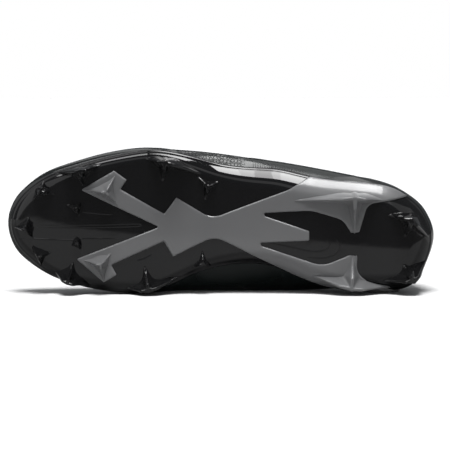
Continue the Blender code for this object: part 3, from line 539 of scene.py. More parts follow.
class SoleForm:
    """The plate's underside as heights over plan points, the same as in the solids."""

    rim_steps = 8
    near_steps = 24
    slope_step = 0.0002
    points_at_once = 2000

    def __init__(self, sizes: ShoeSizes) -> None:
        """Works out the rim and the columns of the sole's table.

        Args:
            sizes: The shoe's driving sizes.
        """
        self.sizes = sizes
        self.stations = self.guide_stations(sizes.rim_inset, sizes.rim_inset)
        self.rim = closed_curve(self.rim_ring(), self.rim_steps)

    def guide_stations(self, heel: float, toe: float) -> Array:
        """Distance from the heel of each section on a line that stops short of both ends."""
        return np.array([heel + row.along * (self.sizes.length - heel - toe) for row in SOLE])

    def rim_ring(self) -> Array:
        """Control points of the rim's outline.

        Returns:
            Plan points, once round from the heel.
        """
        width = self.sizes.ball_width
        outer = [(x, row.outer * width) for x, row in zip(self.stations, SOLE)]
        inner = [(x, -row.inner * width) for x, row in zip(self.stations, SOLE)]
        return ring_of(outer, inner)

    def column(self, name: str, x: Array) -> Array:
        """One column of the sole's table, smoothly read at distances from the heel.

        Args:
            name: The column.
            x: Distances from the heel.

        Returns:
            One value for each distance.
        """
        xs = self.stations
        values = np.array([getattr(row, name) for row in SOLE])
        slopes = np.gradient(values, xs)
        x = np.clip(x, xs[0], xs[-1])
        k = np.clip(np.searchsorted(xs, x) - 1, 0, len(xs) - 2)
        width = xs[k + 1] - xs[k]
        t = (x - xs[k]) / width
        return hermite(values[k], width * slopes[k], values[k + 1], width * slopes[k + 1], t)

    def rim_distance(self, plan: Array) -> Array:
        """Distance of plan points from the rim, and 0 outside it.

        Args:
            plan: Plan points.

        Returns:
            One distance for each point.
        """
        start, end = self.rim, np.roll(self.rim, -1, 0)
        step = end - start
        square = (step**2).sum(1)
        rise = np.where(step[:, 1] == 0, 1.0, step[:, 1])
        found = []
        for part in np.array_split(plan, 1 + len(plan) // self.points_at_once):
            offset = part[:, None, :] - start[None]
            t = np.clip((offset * step).sum(2) / square, 0, 1)
            near = np.linalg.norm(offset - t[..., None] * step, axis=2).min(1)
            y = part[:, 1:2]
            crosses = (start[:, 1] > y) != (end[:, 1] > y)
            at = start[:, 0] + (y - start[:, 1]) * step[:, 0] / rise
            inside = (crosses & (part[:, 0:1] < at)).sum(1) % 2 == 1
            found.append(near * inside)
        return np.concatenate(found)

    def height(self, plan: Array) -> Array:
        """Height of the underside over plan points.

        Args:
            plan: Plan points.

        Returns:
            One height for each point.
        """
        s, x = self.sizes, plan[:, 0]
        share = self.rim_distance(plan) / (s.cup_zone * self.column("zone", x))
        rise = s.cup_height * self.column("cup", x) * np.clip(1 - share, 0, 1) ** s.cup_curve
        base = s.stud_height + s.arch_rise * self.column("arch", x)
        return base + s.toe_spring * self.column("lift", x) + rise

    def skin(self, plan: Array, lift: float | Array) -> Array:
        """Points that stand square over the underside.

        Args:
            plan: Plan points.
            lift: Distance from the underside, inwards of the shoe; one or one for each point.

        Returns:
            Points of the standing shoe.
        """
        plan = np.asarray(plan, float)
        small = self.slope_step
        height = self.height(plan)
        toward = self.rim.mean(0)
        slopes = []
        for axis in (0, 1):
            step = np.zeros_like(plan)
            step[:, axis] = np.where(plan[:, axis] < toward[axis], small, -small)
            slopes.append((self.height(plan + step) - height) / step[:, axis])
        normal = unit(np.stack([-slopes[0], -slopes[1], np.ones(len(plan))], 1))
        return np.column_stack([plan, height]) + np.asarray(lift).reshape(-1, 1) * normal

    def rim_columns(self, steps: int) -> tuple[Array, Array]:
        """Plan points of the rim and the directions that point inwards."""
        ring = closed_curve(self.rim_ring(), steps)
        return ring, square_to(ring)

    def kept_inside(self, plan: Array, clear: float) -> Array:
        """Plan points with those beyond the rim brought back square to it.

        Args:
            plan: Plan points.
            clear: Least distance that they keep from the rim.

        Returns:
            The moved points.
        """
        ring, inward = self.rim_columns(self.near_steps)
        nearest = np.linalg.norm(plan[:, None, :] - ring[None], axis=2).argmin(1)
        depth = ((plan - ring[nearest]) * inward[nearest]).sum(1)
        short = np.maximum(clear - depth, 0.0)
        return plan + short[:, None] * inward[nearest]


FORM = SoleForm(SIZES)


def row_of(along: Array | float) -> Array:
    """Row number, with a fraction, of places along the shoe."""
    return np.interp(along, [row.along for row in SOLE], range(len(SOLE)))


class UpperForm:
    """The upper's outside as a smooth surface over a column and a guide number.

    The guide number is 0 at the sole's edge, 1 on the swell, 2 on the shoulder and 3 at the
    collar's and the throat's edge, or on the ridge of the closed vamp. ends holds how far each
    guide line stops short of the heel and of the toe, and creases holds the place of each soft
    crease over the vamp, as a share of the length, and its depth.
    """

    fine = 16
    feather = 0.0015
    feather_from = 0.005
    column_step = 0.7
    level_step = 0.03
    creases = ((0.735, 0.0007), (0.766, 0.0005))
    crease_width = 0.0090
    crease_bow = 0.10
    crease_lips = 1.2
    crease_side = 0.6
    ends = {"swell": (0.0, 0.0), "shoulder": (0.003, 0.009), "top": (0.007, 0.025)}

    def __init__(self, sizes: ShoeSizes) -> None:
        """Samples the guide lines.

        Args:
            sizes: The shoe's driving sizes.
        """
        self.sizes = sizes
        ring, inward = FORM.rim_columns(self.fine)
        self.columns = len(ring)
        lift = sizes.plate_wall + sizes.seat_gap
        edge = FORM.skin(ring, lift)
        climb = unit(edge - FORM.skin(ring + self.feather_from * inward, lift))
        feather = edge + climb * self.feather
        swell, shoulder, top = (self.guide(name) for name in self.ends)
        number = np.arange(self.columns)
        self.rows = np.minimum(number, self.columns - number) / self.fine
        partner = (self.columns - number) % self.columns
        self.closed = self.rows >= row_of(sizes.throat_front) - 1e-6
        top[self.closed] = ((top + top[partner]) / 2)[self.closed]
        beyond = np.where(self.closed[:, None], shoulder[partner], 2 * top - shoulder)
        for along, depth in self.creases:
            for line, part in ((shoulder, self.crease_side), (top, 1.0), (beyond, self.crease_side)):
                bowed = line[:, 0] + self.crease_bow * np.abs(line[:, 1])
                away = (bowed / sizes.length - along) / self.crease_width
                line[:, 2] -= part * depth * (1 - self.crease_lips * away**2) * np.exp(-(away**2))
        self.lines = np.array([edge, feather, swell, shoulder, top, beyond])

    def guide(self, name: str) -> Array:
        """Sampled guide line, one point for each column.

        Args:
            name: The guide line, a name in ends.

        Returns:
            Points of the standing shoe.
        """
        s = self.sizes
        xs = FORM.guide_stations(*self.ends[name])
        outer, inner = [], []
        for x, row in zip(xs, UPPER):
            z = s.stud_height + getattr(row, name + "_up") * s.upper_height
            outer.append((x, getattr(row, name + "_outer") * s.ball_width, z))
            inner.append((x, -getattr(row, name + "_inner") * s.ball_width, z))
        return closed_curve(ring_of(outer, inner), self.fine)

    def column_at(self, along: Array | float, side: Side) -> Array:
        """Column number, with a fraction, of places along one side."""
        number = row_of(along) * self.fine
        return number if side is Side.OUTER else self.columns - number

    def point(self, column: Array, level: Array) -> Array:
        """Points of the surface at columns and guide numbers.

        Args:
            column: Column numbers, with a fraction.
            level: Guide numbers.

        Returns:
            Points of the standing shoe.
        """
        column = np.mod(np.asarray(column, float), self.columns)
        level = np.clip(np.asarray(level, float), 0, 3)
        low = np.floor(column).astype(int) % self.columns
        high = (low + 1) % self.columns
        share = (column - np.floor(column))[..., None]
        part = np.clip(np.floor(level).astype(int), 0, 2)
        t = (level - part)[..., None]
        near = [self.lines[part + k, low] * (1 - share) for k in range(4)]
        far = [self.lines[part + k, high] * share for k in range(4)]
        return between(*(here + there for here, there in zip(near, far)), t)

    def place(
        self, column: float | Array, level: float | Array, lift: float | Array = 0.0
    ) -> tuple[Array, Array]:
        """Points at a height over the surface, with the normals there.

        Args:
            column: Column numbers.
            level: Guide numbers.
            lift: Height over the surface, one or one for each point.

        Returns:
            The points and the outward normals.
        """
        column, level = np.broadcast_arrays(np.asarray(column, float), np.asarray(level, float))
        here = self.point(column, level)
        step, climb = self.column_step, self.level_step
        ahead = self.point(column + step, level) - self.point(column - step, level)
        rise = self.point(column, level + climb) - self.point(column, level - climb)
        normal = unit(np.cross(rise, ahead))
        lift = np.broadcast_to(np.asarray(lift, float), column.shape)[..., None]
        return here + lift * normal, normal


LAST = UpperForm(SIZES)


class Throat:
    """Surface over the instep that carries the eyestays across the open throat."""

    steps = 4
    spare = 0.008
    samples = 61
    levels = 25
    arch_samples = 12
    arch_reach = 4
    least_gap = 0.001
    rounds = 2

    def __init__(self, sizes: ShoeSizes) -> None:
        """Samples one section for each column between the collar and the vamp.

        Args:
            sizes: The shoe's driving sizes.
        """
        self.sizes = sizes
        first, last = (float(row_of(a)) * self.steps for a in (sizes.throat_back, sizes.vamp_cover))
        self.numbers = np.arange(math.ceil(first), math.floor(last) + 1)
        reach = sizes.tongue_half_width + self.spare
        self.across = np.linspace(-reach, reach, self.samples)
        levels = np.linspace(1.0, 3.0, self.levels)
        sections, self.gap = [], []
        for number in self.numbers:
            column = number * LAST.fine / self.steps
            outer, _ = LAST.place(column, levels)
            inner, _ = LAST.place(LAST.columns - column, levels)
            sections.append(self.section(outer, inner))
            self.gap.append(np.linalg.norm(outer[-1] - inner[-1]) / 2)
        self.points = np.array(sections)
        soften(self.points, self.rounds)
        normal = unit(np.cross(np.gradient(self.points, axis=0), np.gradient(self.points, axis=1)))
        self.normals = normal * np.sign(normal[..., 2:3])

    def section(self, outer: Array, inner: Array) -> Array:
        """Evenly spaced points across one station, from the inner side to the outer.

        Args:
            outer: Points up the outer side.
            inner: Points up the inner side.

        Returns:
            One point for each of the even distances.
        """
        arch = []
        if np.linalg.norm(outer[-1] - inner[-1]) > self.least_gap:
            reach = self.arch_reach
            for t in np.linspace(0, 1, self.arch_samples)[1:-1]:
                arch.append(between(inner[-1 - reach], inner[-1], outer[-1], outer[-1 - reach], t))
        else:
            inner = inner[:-1]
        line = np.array(list(inner) + arch + list(outer[::-1]))
        length = np.concatenate([[0], np.cumsum(np.linalg.norm(np.diff(line, axis=0), axis=1))])
        middle = length[len(inner)]
        if arch:
            middle = (length[len(inner) - 1] + length[len(inner) + len(arch)]) / 2
        return np.column_stack([np.interp(self.across + middle, length, line[:, k]) for k in range(3)])

    def at(self, along: float, across: float, lift: float) -> tuple[Array, Array]:
        """Point over the surface, at a place along the shoe and across the throat, and its normal.

        Args:
            along: Share of the length.
            across: Distance from the middle, to the outer side.
            lift: Height over the surface.

        Returns:
            The point and the normal.
        """
        row = float(np.clip(row_of(along) * self.steps - self.numbers[0], 0, len(self.numbers) - 1))
        low = min(int(row), len(self.numbers) - 2)
        share = row - low
        found = []
        for values in (self.points, self.normals):
            line = values[low] * (1 - share) + values[low + 1] * share
            found.append(np.array([np.interp(across, self.across, line[:, k]) for k in range(3)]))
        normal = unit(found[1])
        return found[0] + lift * normal, normal

    def half_gap(self, along: float) -> float:
        """Half the throat's width at a place along the shoe."""
        return float(np.interp(row_of(along) * self.steps, self.numbers, self.gap))


THROAT = Throat(SIZES)


class NodeBuilder:
    """Short calls for making nodes and links in one tree."""

    def __init__(self, tree: bpy.types.NodeTree) -> None:
        """Keeps the tree."""
        self.tree = tree

    def fill(self, target: bpy.types.Node, inputs: dict[str | int, object]) -> None:
        """Links sockets to a node's inputs, or gives the inputs plain values.

        Args:
            target: The node.
            inputs: Sockets and values, by the inputs' names or numbers.
        """
        for key, value in inputs.items():
            if isinstance(value, bpy.types.NodeSocket):
                self.tree.links.new(value, target.inputs[key])
            else:
                target.inputs[key].default_value = value

    def node(
        self, kind: str, inputs: dict[str | int, object] | None = None, **settings: object
    ) -> bpy.types.Node:
        """Adds a node.

        Args:
            kind: The node's type.
            inputs: Sockets and values for its inputs.
            settings: Its properties by name.

        Returns:
            The node.
        """
        made = self.tree.nodes.new(kind)
        for name, value in settings.items():
            setattr(made, name, value)
        self.fill(made, inputs or {})
        return made

    def math(self, operation: str, *values: object) -> bpy.types.NodeSocket:
        """Adds a Math node on sockets or numbers and returns its output."""
        return self.node("ShaderNodeMath", dict(enumerate(values)), operation=operation).outputs[0]

    def times(self, *values: object) -> bpy.types.NodeSocket:
        """Multiplies two sockets or numbers and returns the output."""
        return self.math("MULTIPLY", *values)

    def noise(self, vector: bpy.types.NodeSocket, scale: object, detail: float) -> bpy.types.NodeSocket:
        """Adds a Noise Texture and returns its factor."""
        inputs = {"Vector": vector, "Scale": scale, "Detail": detail}
        return self.node("ShaderNodeTexNoise", inputs).outputs["Fac"]

    def remap(
        self, value: bpy.types.NodeSocket, low: float, high: float, start: float, end: float
    ) -> bpy.types.NodeSocket:
        """Maps the range from low to high onto start to end and returns the clamped result."""
        inputs = {"Value": value, "From Min": low, "From Max": high, "To Min": start, "To Max": end}
        return self.node("ShaderNodeMapRange", inputs, clamp=True).outputs["Result"]

    def group(self, name: str, inputs: dict[str | int, object]) -> bpy.types.Node:
        """Adds one of the shared node groups and returns its node."""
        return self.node("ShaderNodeGroup", inputs, node_tree=GROUPS[name])


def shader_group(
    name: str, inputs: dict[str, float | None], outputs: Sequence[str]
) -> tuple[bpy.types.NodeTree, NodeBuilder]:
    """Makes an empty shader node group.

    Args:
        name: The group's name.
        inputs: Input names with default numbers; None makes a vector input.
        outputs: Names of the number outputs.

    Returns:
        The group and a builder for its nodes.
    """
    group = bpy.data.node_groups.new(name, "ShaderNodeTree")
    for label, value in inputs.items():
        kind = "NodeSocketVector" if value is None else "NodeSocketFloat"
        socket = group.interface.new_socket(label, in_out="INPUT", socket_type=kind)
        if value is not None:
            socket.default_value = value
    for label in outputs:
        group.interface.new_socket(label, in_out="OUTPUT", socket_type="NodeSocketFloat")
    return group, NodeBuilder(group)


def scuff_group() -> bpy.types.NodeTree:
    """Fine scratches and haze, as a roughness mask.

    Returns:
        The node group.
    """
    group, build = shader_group("scuffs", {"Vector": None, "Scale": 60.0, "Amount": 0.5}, ("Mask",))
    source = build.node("NodeGroupInput").outputs
    drawn_out = {"Vector": source["Vector"], "Scale": (1.0, 7.0, 3.0), "Rotation": (0.3, 0.5, 0.7)}
    stretch = build.node("ShaderNodeMapping", drawn_out)
    lines = build.noise(stretch.outputs["Vector"], source["Scale"], 6.0)
    haze = build.noise(source["Vector"], 22.0, 3.0)
    both = build.times(build.remap(lines, 0.56, 0.72, 0.0, 1.0), build.remap(haze, 0.42, 0.66, 0.0, 1.0))
    build.node("NodeGroupOutput", {"Mask": build.times(both, source["Amount"])})
    return group


def grain_group() -> bpy.types.NodeTree:
    """Moulded or coated grain: a fine height and a slow colour variation.

    Returns:
        The node group.
    """
    group, build = shader_group("grain", {"Vector": None, "Scale": 900.0, "Spread": 12.0}, ("Height", "Tone"))
    source = build.node("NodeGroupInput").outputs
    fine = build.noise(source["Vector"], source["Scale"], 2.0)
    slow = build.noise(source["Vector"], source["Spread"], 3.0)
    build.node("NodeGroupOutput", {"Height": fine, "Tone": slow})
    return group


def weave_group() -> bpy.types.NodeTree:
    """Two crossing sets of threads: a height and the gaps between the threads.

    Returns:
        The node group.
    """
    group, build = shader_group("weave", {"Vector": None, "Threads": 1400.0}, ("Height", "Gap"))
    source = build.node("NodeGroupInput").outputs
    fine = {0: source["Vector"], "Scale": source["Threads"]}
    scaled = build.node("ShaderNodeVectorMath", fine, operation="SCALE")
    split = build.node("ShaderNodeSeparateXYZ", {0: scaled.outputs[0]}).outputs
    across = (build.math("ADD", split["X"], split["Z"]), build.math("SUBTRACT", split["Y"], split["Z"]))
    height = build.math("MAXIMUM", *(build.math("ABSOLUTE", build.math("SINE", way)) for way in across))
    build.node("NodeGroupOutput", {"Height": height, "Gap": build.remap(height, 0.25, 0.6, 1.0, 0.0)})
    return group


GROUPS: dict[str, bpy.types.NodeTree] = {}


@dataclass(frozen=True)
class Finish:
    """A surface finish with procedural colour, roughness and relief."""

    name: str
    slot: str
    color: tuple[float, float, float]
    roughness: float
    coat: float = 0.0
    coat_roughness: float = 0.05
    sheen: float = 0.0
    specular: float = 0.5
    tone_change: float = 0.12
    grain_scale: float = 900.0
    grain_depth: float = 0.02
    scuffs: float = 0.0
    threads: float = 0.0
    thread_depth: float = 0.3
    relief: Relief | None = None
    rough_change: float = 0.15
    scuff_rough: float = 0.35
    # Painted shade: share of the colour left in the gaps between threads, which darkens them.
    gap_shade: float = 0.35
    bump_distance: float = 0.001
    bump_strength: float = 0.6

    def shaded(self, factor: float) -> tuple[float, ...]:
        """The colour times a factor, opaque."""
        return (*(value * factor for value in self.color), 1)

    def build(self) -> bpy.types.Material:
        """Makes the material.

        Returns:
            The material.
        """
        made = bpy.data.materials.new(self.name)
        made.use_nodes = True
        build = NodeBuilder(made.node_tree)
        place = build.node("ShaderNodeTexCoord").outputs["Object"]
        grain = build.group("grain", {"Vector": place, "Scale": self.grain_scale}).outputs
        mixed = {
            "Factor": build.remap(grain["Tone"], 0.3, 0.7, 0.0, 1.0),
            "A": self.shaded(1 - self.tone_change),
            "B": self.shaded(1 + self.tone_change),
        }
        tint = build.node("ShaderNodeMix", mixed, data_type="RGBA").outputs["Result"]
        height = build.times(grain["Height"], self.grain_depth)
        smooth, dull = (self.roughness * (1 + change) for change in (-self.rough_change, self.rough_change))
        rough = build.remap(grain["Tone"], 0.3, 0.7, smooth, dull)
        if self.scuffs:
            scuff = build.group("scuffs", {"Vector": place, "Amount": self.scuffs}).outputs["Mask"]
            rough = build.math("ADD", rough, build.times(scuff, self.scuff_rough))
        if self.threads:
            weave = build.group("weave", {"Vector": place, "Threads": self.threads}).outputs
            height = build.math("ADD", height, build.times(weave["Height"], self.thread_depth))
            # Painted shade: the gaps between the threads are darkened to a share of the colour.
            gap_painted_shade = {"Factor": weave["Gap"], "A": tint, "B": self.shaded(self.gap_shade)}
            tint = build.node("ShaderNodeMix", gap_painted_shade, data_type="RGBA").outputs["Result"]
        if self.relief:
            height = build.math("ADD", height, self.relief.height(build, place))
        bumped = {"Height": height, "Distance": self.bump_distance, "Strength": self.bump_strength}
        build.fill(made.node_tree.nodes["Principled BSDF"], {
            "Normal": build.node("ShaderNodeBump", bumped).outputs["Normal"],
            "Base Color": tint,
            "Roughness": rough,
            "Coat Weight": self.coat,
            "Coat Roughness": self.coat_roughness,
            "Sheen Weight": self.sheen,
            "Specular IOR Level": self.specular,
        })
        return made


@dataclass(frozen=True)
class Relief:
    """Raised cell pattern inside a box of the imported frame, faded at its edges."""

    centre: tuple[float, float, float]
    reach: tuple[float, float, float]
    cells: float = 420.0
    disorder: float = 0.25
    depth: float = 0.35
    fade_from: float = 0.75

    def height(self, build: NodeBuilder, place: bpy.types.NodeSocket) -> bpy.types.NodeSocket:
        """Adds the pattern's nodes.

        Args:
            build: Builder of the material's tree.
            place: Object coordinates.

        Returns:
            The output socket with the height.
        """
        box = {"Vector": place, "Location": self.centre, "Scale": self.reach}
        centred = build.node("ShaderNodeMapping", box, vector_type="TEXTURE").outputs["Vector"]
        away = build.node("ShaderNodeVectorMath", {0: centred}, operation="LENGTH").outputs["Value"]
        pattern = {"Vector": place, "Scale": self.cells, "Randomness": self.disorder}
        cells = build.node("ShaderNodeTexVoronoi", pattern, feature="DISTANCE_TO_EDGE").outputs["Distance"]
        raised = build.remap(cells, 0.02, 0.16, 0.0, self.depth)
        return build.times(raised, build.remap(away, self.fade_from, 1.0, 1.0, 0.0))


PLATE_FINISH = Finish(
    "gloss_black_plate", "gloss_plate", (0.0062, 0.0062, 0.0067), 0.045,
    grain_scale=260.0, grain_depth=0.010, scuffs=0.5,
)
CHASSIS_FINISH = Finish(
    "satin_grey_chassis", "grey_chassis", (0.148, 0.149, 0.152), 0.34, coat=0.45, coat_roughness=0.06,
    tone_change=0.05, grain_scale=1500.0, grain_depth=0.030, scuffs=0.4,
)
UPPER_FINISH = Finish(
    "coated_black_upper", "coated_upper", (0.0080, 0.0108, 0.0105), 0.20, coat=0.10, coat_roughness=0.10,
    specular=0.26, grain_scale=1100.0, grain_depth=0.050, scuffs=0.3,
    relief=Relief((-0.015, -0.018, 0.098), (0.034, 0.040, 0.040)),
)
PANEL_FINISH = Finish(
    "smooth_black_film", "coated_upper", (0.0080, 0.0100, 0.0098), 0.18, coat=0.5, coat_roughness=0.06,
    grain_scale=700.0, grain_depth=0.015, scuffs=0.4,
)
LINING_FINISH = Finish(
    "black_lining", "lining", (0.0340, 0.0340, 0.0355), 0.85, sheen=0.25, specular=0.25,
    grain_scale=600.0, grain_depth=0.2, threads=2600.0, thread_depth=0.35,
)
KNIT_FINISH = Finish(
    "black_knit", "lining", (0.0340, 0.0345, 0.0350), 0.75, sheen=0.3, specular=0.3,
    grain_scale=500.0, grain_depth=0.15, threads=1700.0, thread_depth=0.6,
)
LACE_FINISH = Finish(
    "black_lace", "lace", (0.0520, 0.0520, 0.0540), 0.7, sheen=0.3, specular=0.3,
    grain_scale=800.0, grain_depth=0.1, threads=2200.0, thread_depth=0.8,
)
THREAD_FINISH = Finish(
    "black_thread", "lace", (0.0200, 0.0200, 0.0210), 0.5, sheen=0.2, grain_depth=0.05,
)


@dataclass
class StudShape:
    """How the three-armed studs are shaped and how finely they are meshed."""

    fall: float = 1.55
    ribbon: float = 0.22
    ribbon_least: float = 0.00065
    ribbon_end: float = 0.70
    ridge_round: float = 0.0008
    crest: float = 0.35
    flank: float = 0.20
    rim_flank: float = 0.02
    rim_band: tuple[float, float] = (0.006, 0.014)
    rim_turn: float = 1.6
    flat: float = 0.06
    end_step: float = 0.00035
    end_round: float = 0.00035
    end_spread: float = 0.3
    corner: float = 6.0
    valley: float = 3.0
    tip_reach: float = 1.30
    tip_bevel: float = 0.00035
    tip_run: float = 0.012
    tip_drop: float = 0.6
    rounds: int = 16
    foot_sink: float = 0.0004
    foot_plug: float = 0.0008
    rim_clear: float = 0.0006
    least_off: float = 0.001
    spokes: int = 22
    rings: int = 30
    ring_bias: float = 1.3

    def tip_height(self, stud: Stud) -> float:
        """Height of a stud's flat tip over the ground plane.

        Args:
            stud: The stud.

        Returns:
            The height in metres.
        """
        base = float(FORM.height(plan_point(*stud.middle)[None])[0])
        if stud.reach is Reach.SMALL:
            return base - SIZES.small_stud_height
        if stud.reach is Reach.TOE:
            return base - SIZES.stud_height * SIZES.toe_stud_share
        return 0.0

    def outline(self, stud: Stud, share: float) -> Array:
        """Plan outline of a stud.

        Args:
            stud: The stud.
            share: Where it is cut, from 0 at the tip to 1 at the foot of its three ridges.

        Returns:
            Plan points, once round.
        """
        middle = plan_point(*stud.middle)
        arms = [plan_point(*end) - middle for end in (stud.first, stud.second, stud.third)]
        arms.sort(key=lambda arm: math.atan2(arm[1], arm[0]))
        turns = [math.atan2(arm[1], arm[0]) for arm in arms]
        sweeps = [(turns[(k + 1) % 3] - turns[k]) % (2 * math.pi) for k in range(3)]
        steps = (1 - np.cos(np.pi * np.arange(self.spokes) / self.spokes)) / 2
        angle = np.concatenate([turn + sweep * steps for turn, sweep in zip(turns, sweeps)])
        height = float(FORM.height(middle[None])[0]) - self.tip_height(stud)
        depth = float(FORM.rim_distance(middle[None])[0])
        by_rim = float(np.interp(depth, self.rim_band, (1.0, 0.0)))
        outward = np.clip(np.sin(angle) * math.copysign(self.rim_turn, middle[1]), 0, 1) * by_rim
        flank = (self.flank + (self.rim_flank - self.flank) * outward) * height
        reach = np.zeros(len(angle))
        for arm, turn in zip(arms, turns):
            off = np.clip(np.abs((angle - turn + np.pi) % (2 * np.pi) - np.pi), self.least_off, np.pi / 2)
            reach += self.limb(stud.tip, float(np.linalg.norm(arm)), share, height, off, flank) ** self.valley
        reach = reach ** (1 / self.valley)
        return middle + reach[:, None] * np.column_stack([np.cos(angle), np.sin(angle)])

    def limb(self, tip: float, arm: float, share: float, height: float, off: Array, flank: Array) -> Array:
        """How far one ridge reaches in each direction, with its flanks and its rounded end.

        Args:
            tip: Radius of the stud's tip.
            arm: Distance from the middle to the ridge's end.
            share: Where the stud is cut, from 0 at the tip to 1 at the foot.
            height: Height of the stud.
            off: Angle between each direction and the ridge.
            flank: How far the flank spreads from the crest to the foot, for each direction.

        Returns:
            One distance for each direction.
        """
        start = tip * self.tip_reach
        run = arm - start
        length = start + run * share
        reach = np.full(len(off), length)
        for _ in range(self.rounds):
            out = np.clip((reach * np.cos(off) - start) / run, 0, 1)
            drop = np.maximum(self.ridge(out) - self.ridge(share), 0)
            half = max(self.ribbon * tip, self.ribbon_least) * (1 - (1 - self.ribbon_end) * out)
            rounding = np.sqrt(np.clip(drop * height / self.ridge_round, 0, 1))
            half = half * (self.crest + (1 - self.crest) * rounding)
            side = (half + flank * drop) / np.sin(off)
            reach = (reach + (side**-self.corner + length**-self.corner) ** (-1 / self.corner)) / 2
        return reach

    def ridge(self, share: float | Array) -> float | Array:
        """Height of a ridge at a share of its run, from 1 at the tip to 0 at its foot."""
        return (1 - np.clip((share - self.flat) / (1 - self.flat), 0, 1)) ** self.fall

    def add(self, mould: Mould, stud: Stud, lift: float) -> None:
        """Adds a stud that is sunk a little into the sole's skin.

        Args:
            mould: The piece that takes the stud.
            stud: The stud.
            lift: Lift of the skin that it stands on.
        """
        tip = self.tip_height(stud)
        middle = plan_point(*stud.middle)
        first = FORM.kept_inside(self.outline(stud, 0.0), self.rim_clear)
        cap = middle + (first - middle) * (1 - self.tip_bevel / stud.tip)
        rings = [np.column_stack([cap, np.full(len(cap), tip)])]
        for share in np.linspace(0, 1, self.rings) ** self.ring_bias:
            plan = FORM.kept_inside(self.outline(stud, share), self.rim_clear)
            foot = FORM.skin(plan, lift)[:, 2]
            height = foot + (tip - foot) * self.ridge(share) - self.end_step * share**2
            height += self.tip_bevel * (1 - min(share / self.tip_run, 1.0)) * self.tip_drop
            rings.append(np.column_stack([plan, np.maximum(height, tip)]))
        for part in (0.5, 1.0):
            angle = part * math.pi / 2
            spread = self.end_round * (1 - math.cos(angle) + self.end_spread * part)
            wide = FORM.kept_inside(plan + spread * square_to(plan), self.rim_clear * (1 - part / 2))
            foot = FORM.skin(wide, lift)[:, 2] + self.foot_sink * part / 2
            rings.append(np.column_stack([wide, foot - self.end_step * (1 - math.sin(angle))]))
        rings.append(rings[-1] + (0, 0, self.foot_plug))
        mould.tube(np.array(rings))


class Rib(NamedTuple):
    """Low rib on the plate: half its width, its height and its stations as shares."""

    width: float
    height: float
    stations: tuple[tuple[float, float], ...]


RIBS = [
    Rib(0.00045, 0.00035, (
        (0.930, 0.012), (0.860, 0.0145), (0.770, 0.020), (0.700, 0.028), (0.6875, 0.020),
        (0.698, 0.0105), (0.770, 0.003), (0.860, -0.003), (0.930, -0.006),
    )),
    Rib(0.0006, 0.00035, (
        (0.390, -0.107), (0.339, -0.134), (0.297, -0.159), (0.273, -0.162), (0.2545, -0.145),
        (0.2475, -0.114), (0.254, -0.084),
    )),
    Rib(0.0005, 0.0003, (
        (0.300, -0.205), (0.262, -0.208), (0.236, -0.182), (0.224, -0.130), (0.232, -0.078),
    )),
    Rib(0.0005, 0.0002, ((0.824, 0.107), (0.786, 0.098), (0.752, 0.092))),
    Rib(0.0005, 0.0002, (
        (0.981, -0.083), (0.910, -0.088), (0.846, -0.090), (0.818, -0.078), (0.728, -0.076),
    )),
    Rib(0.0005, 0.0002, ((0.698, -0.228), (0.680, -0.213), (0.662, -0.186))),
]


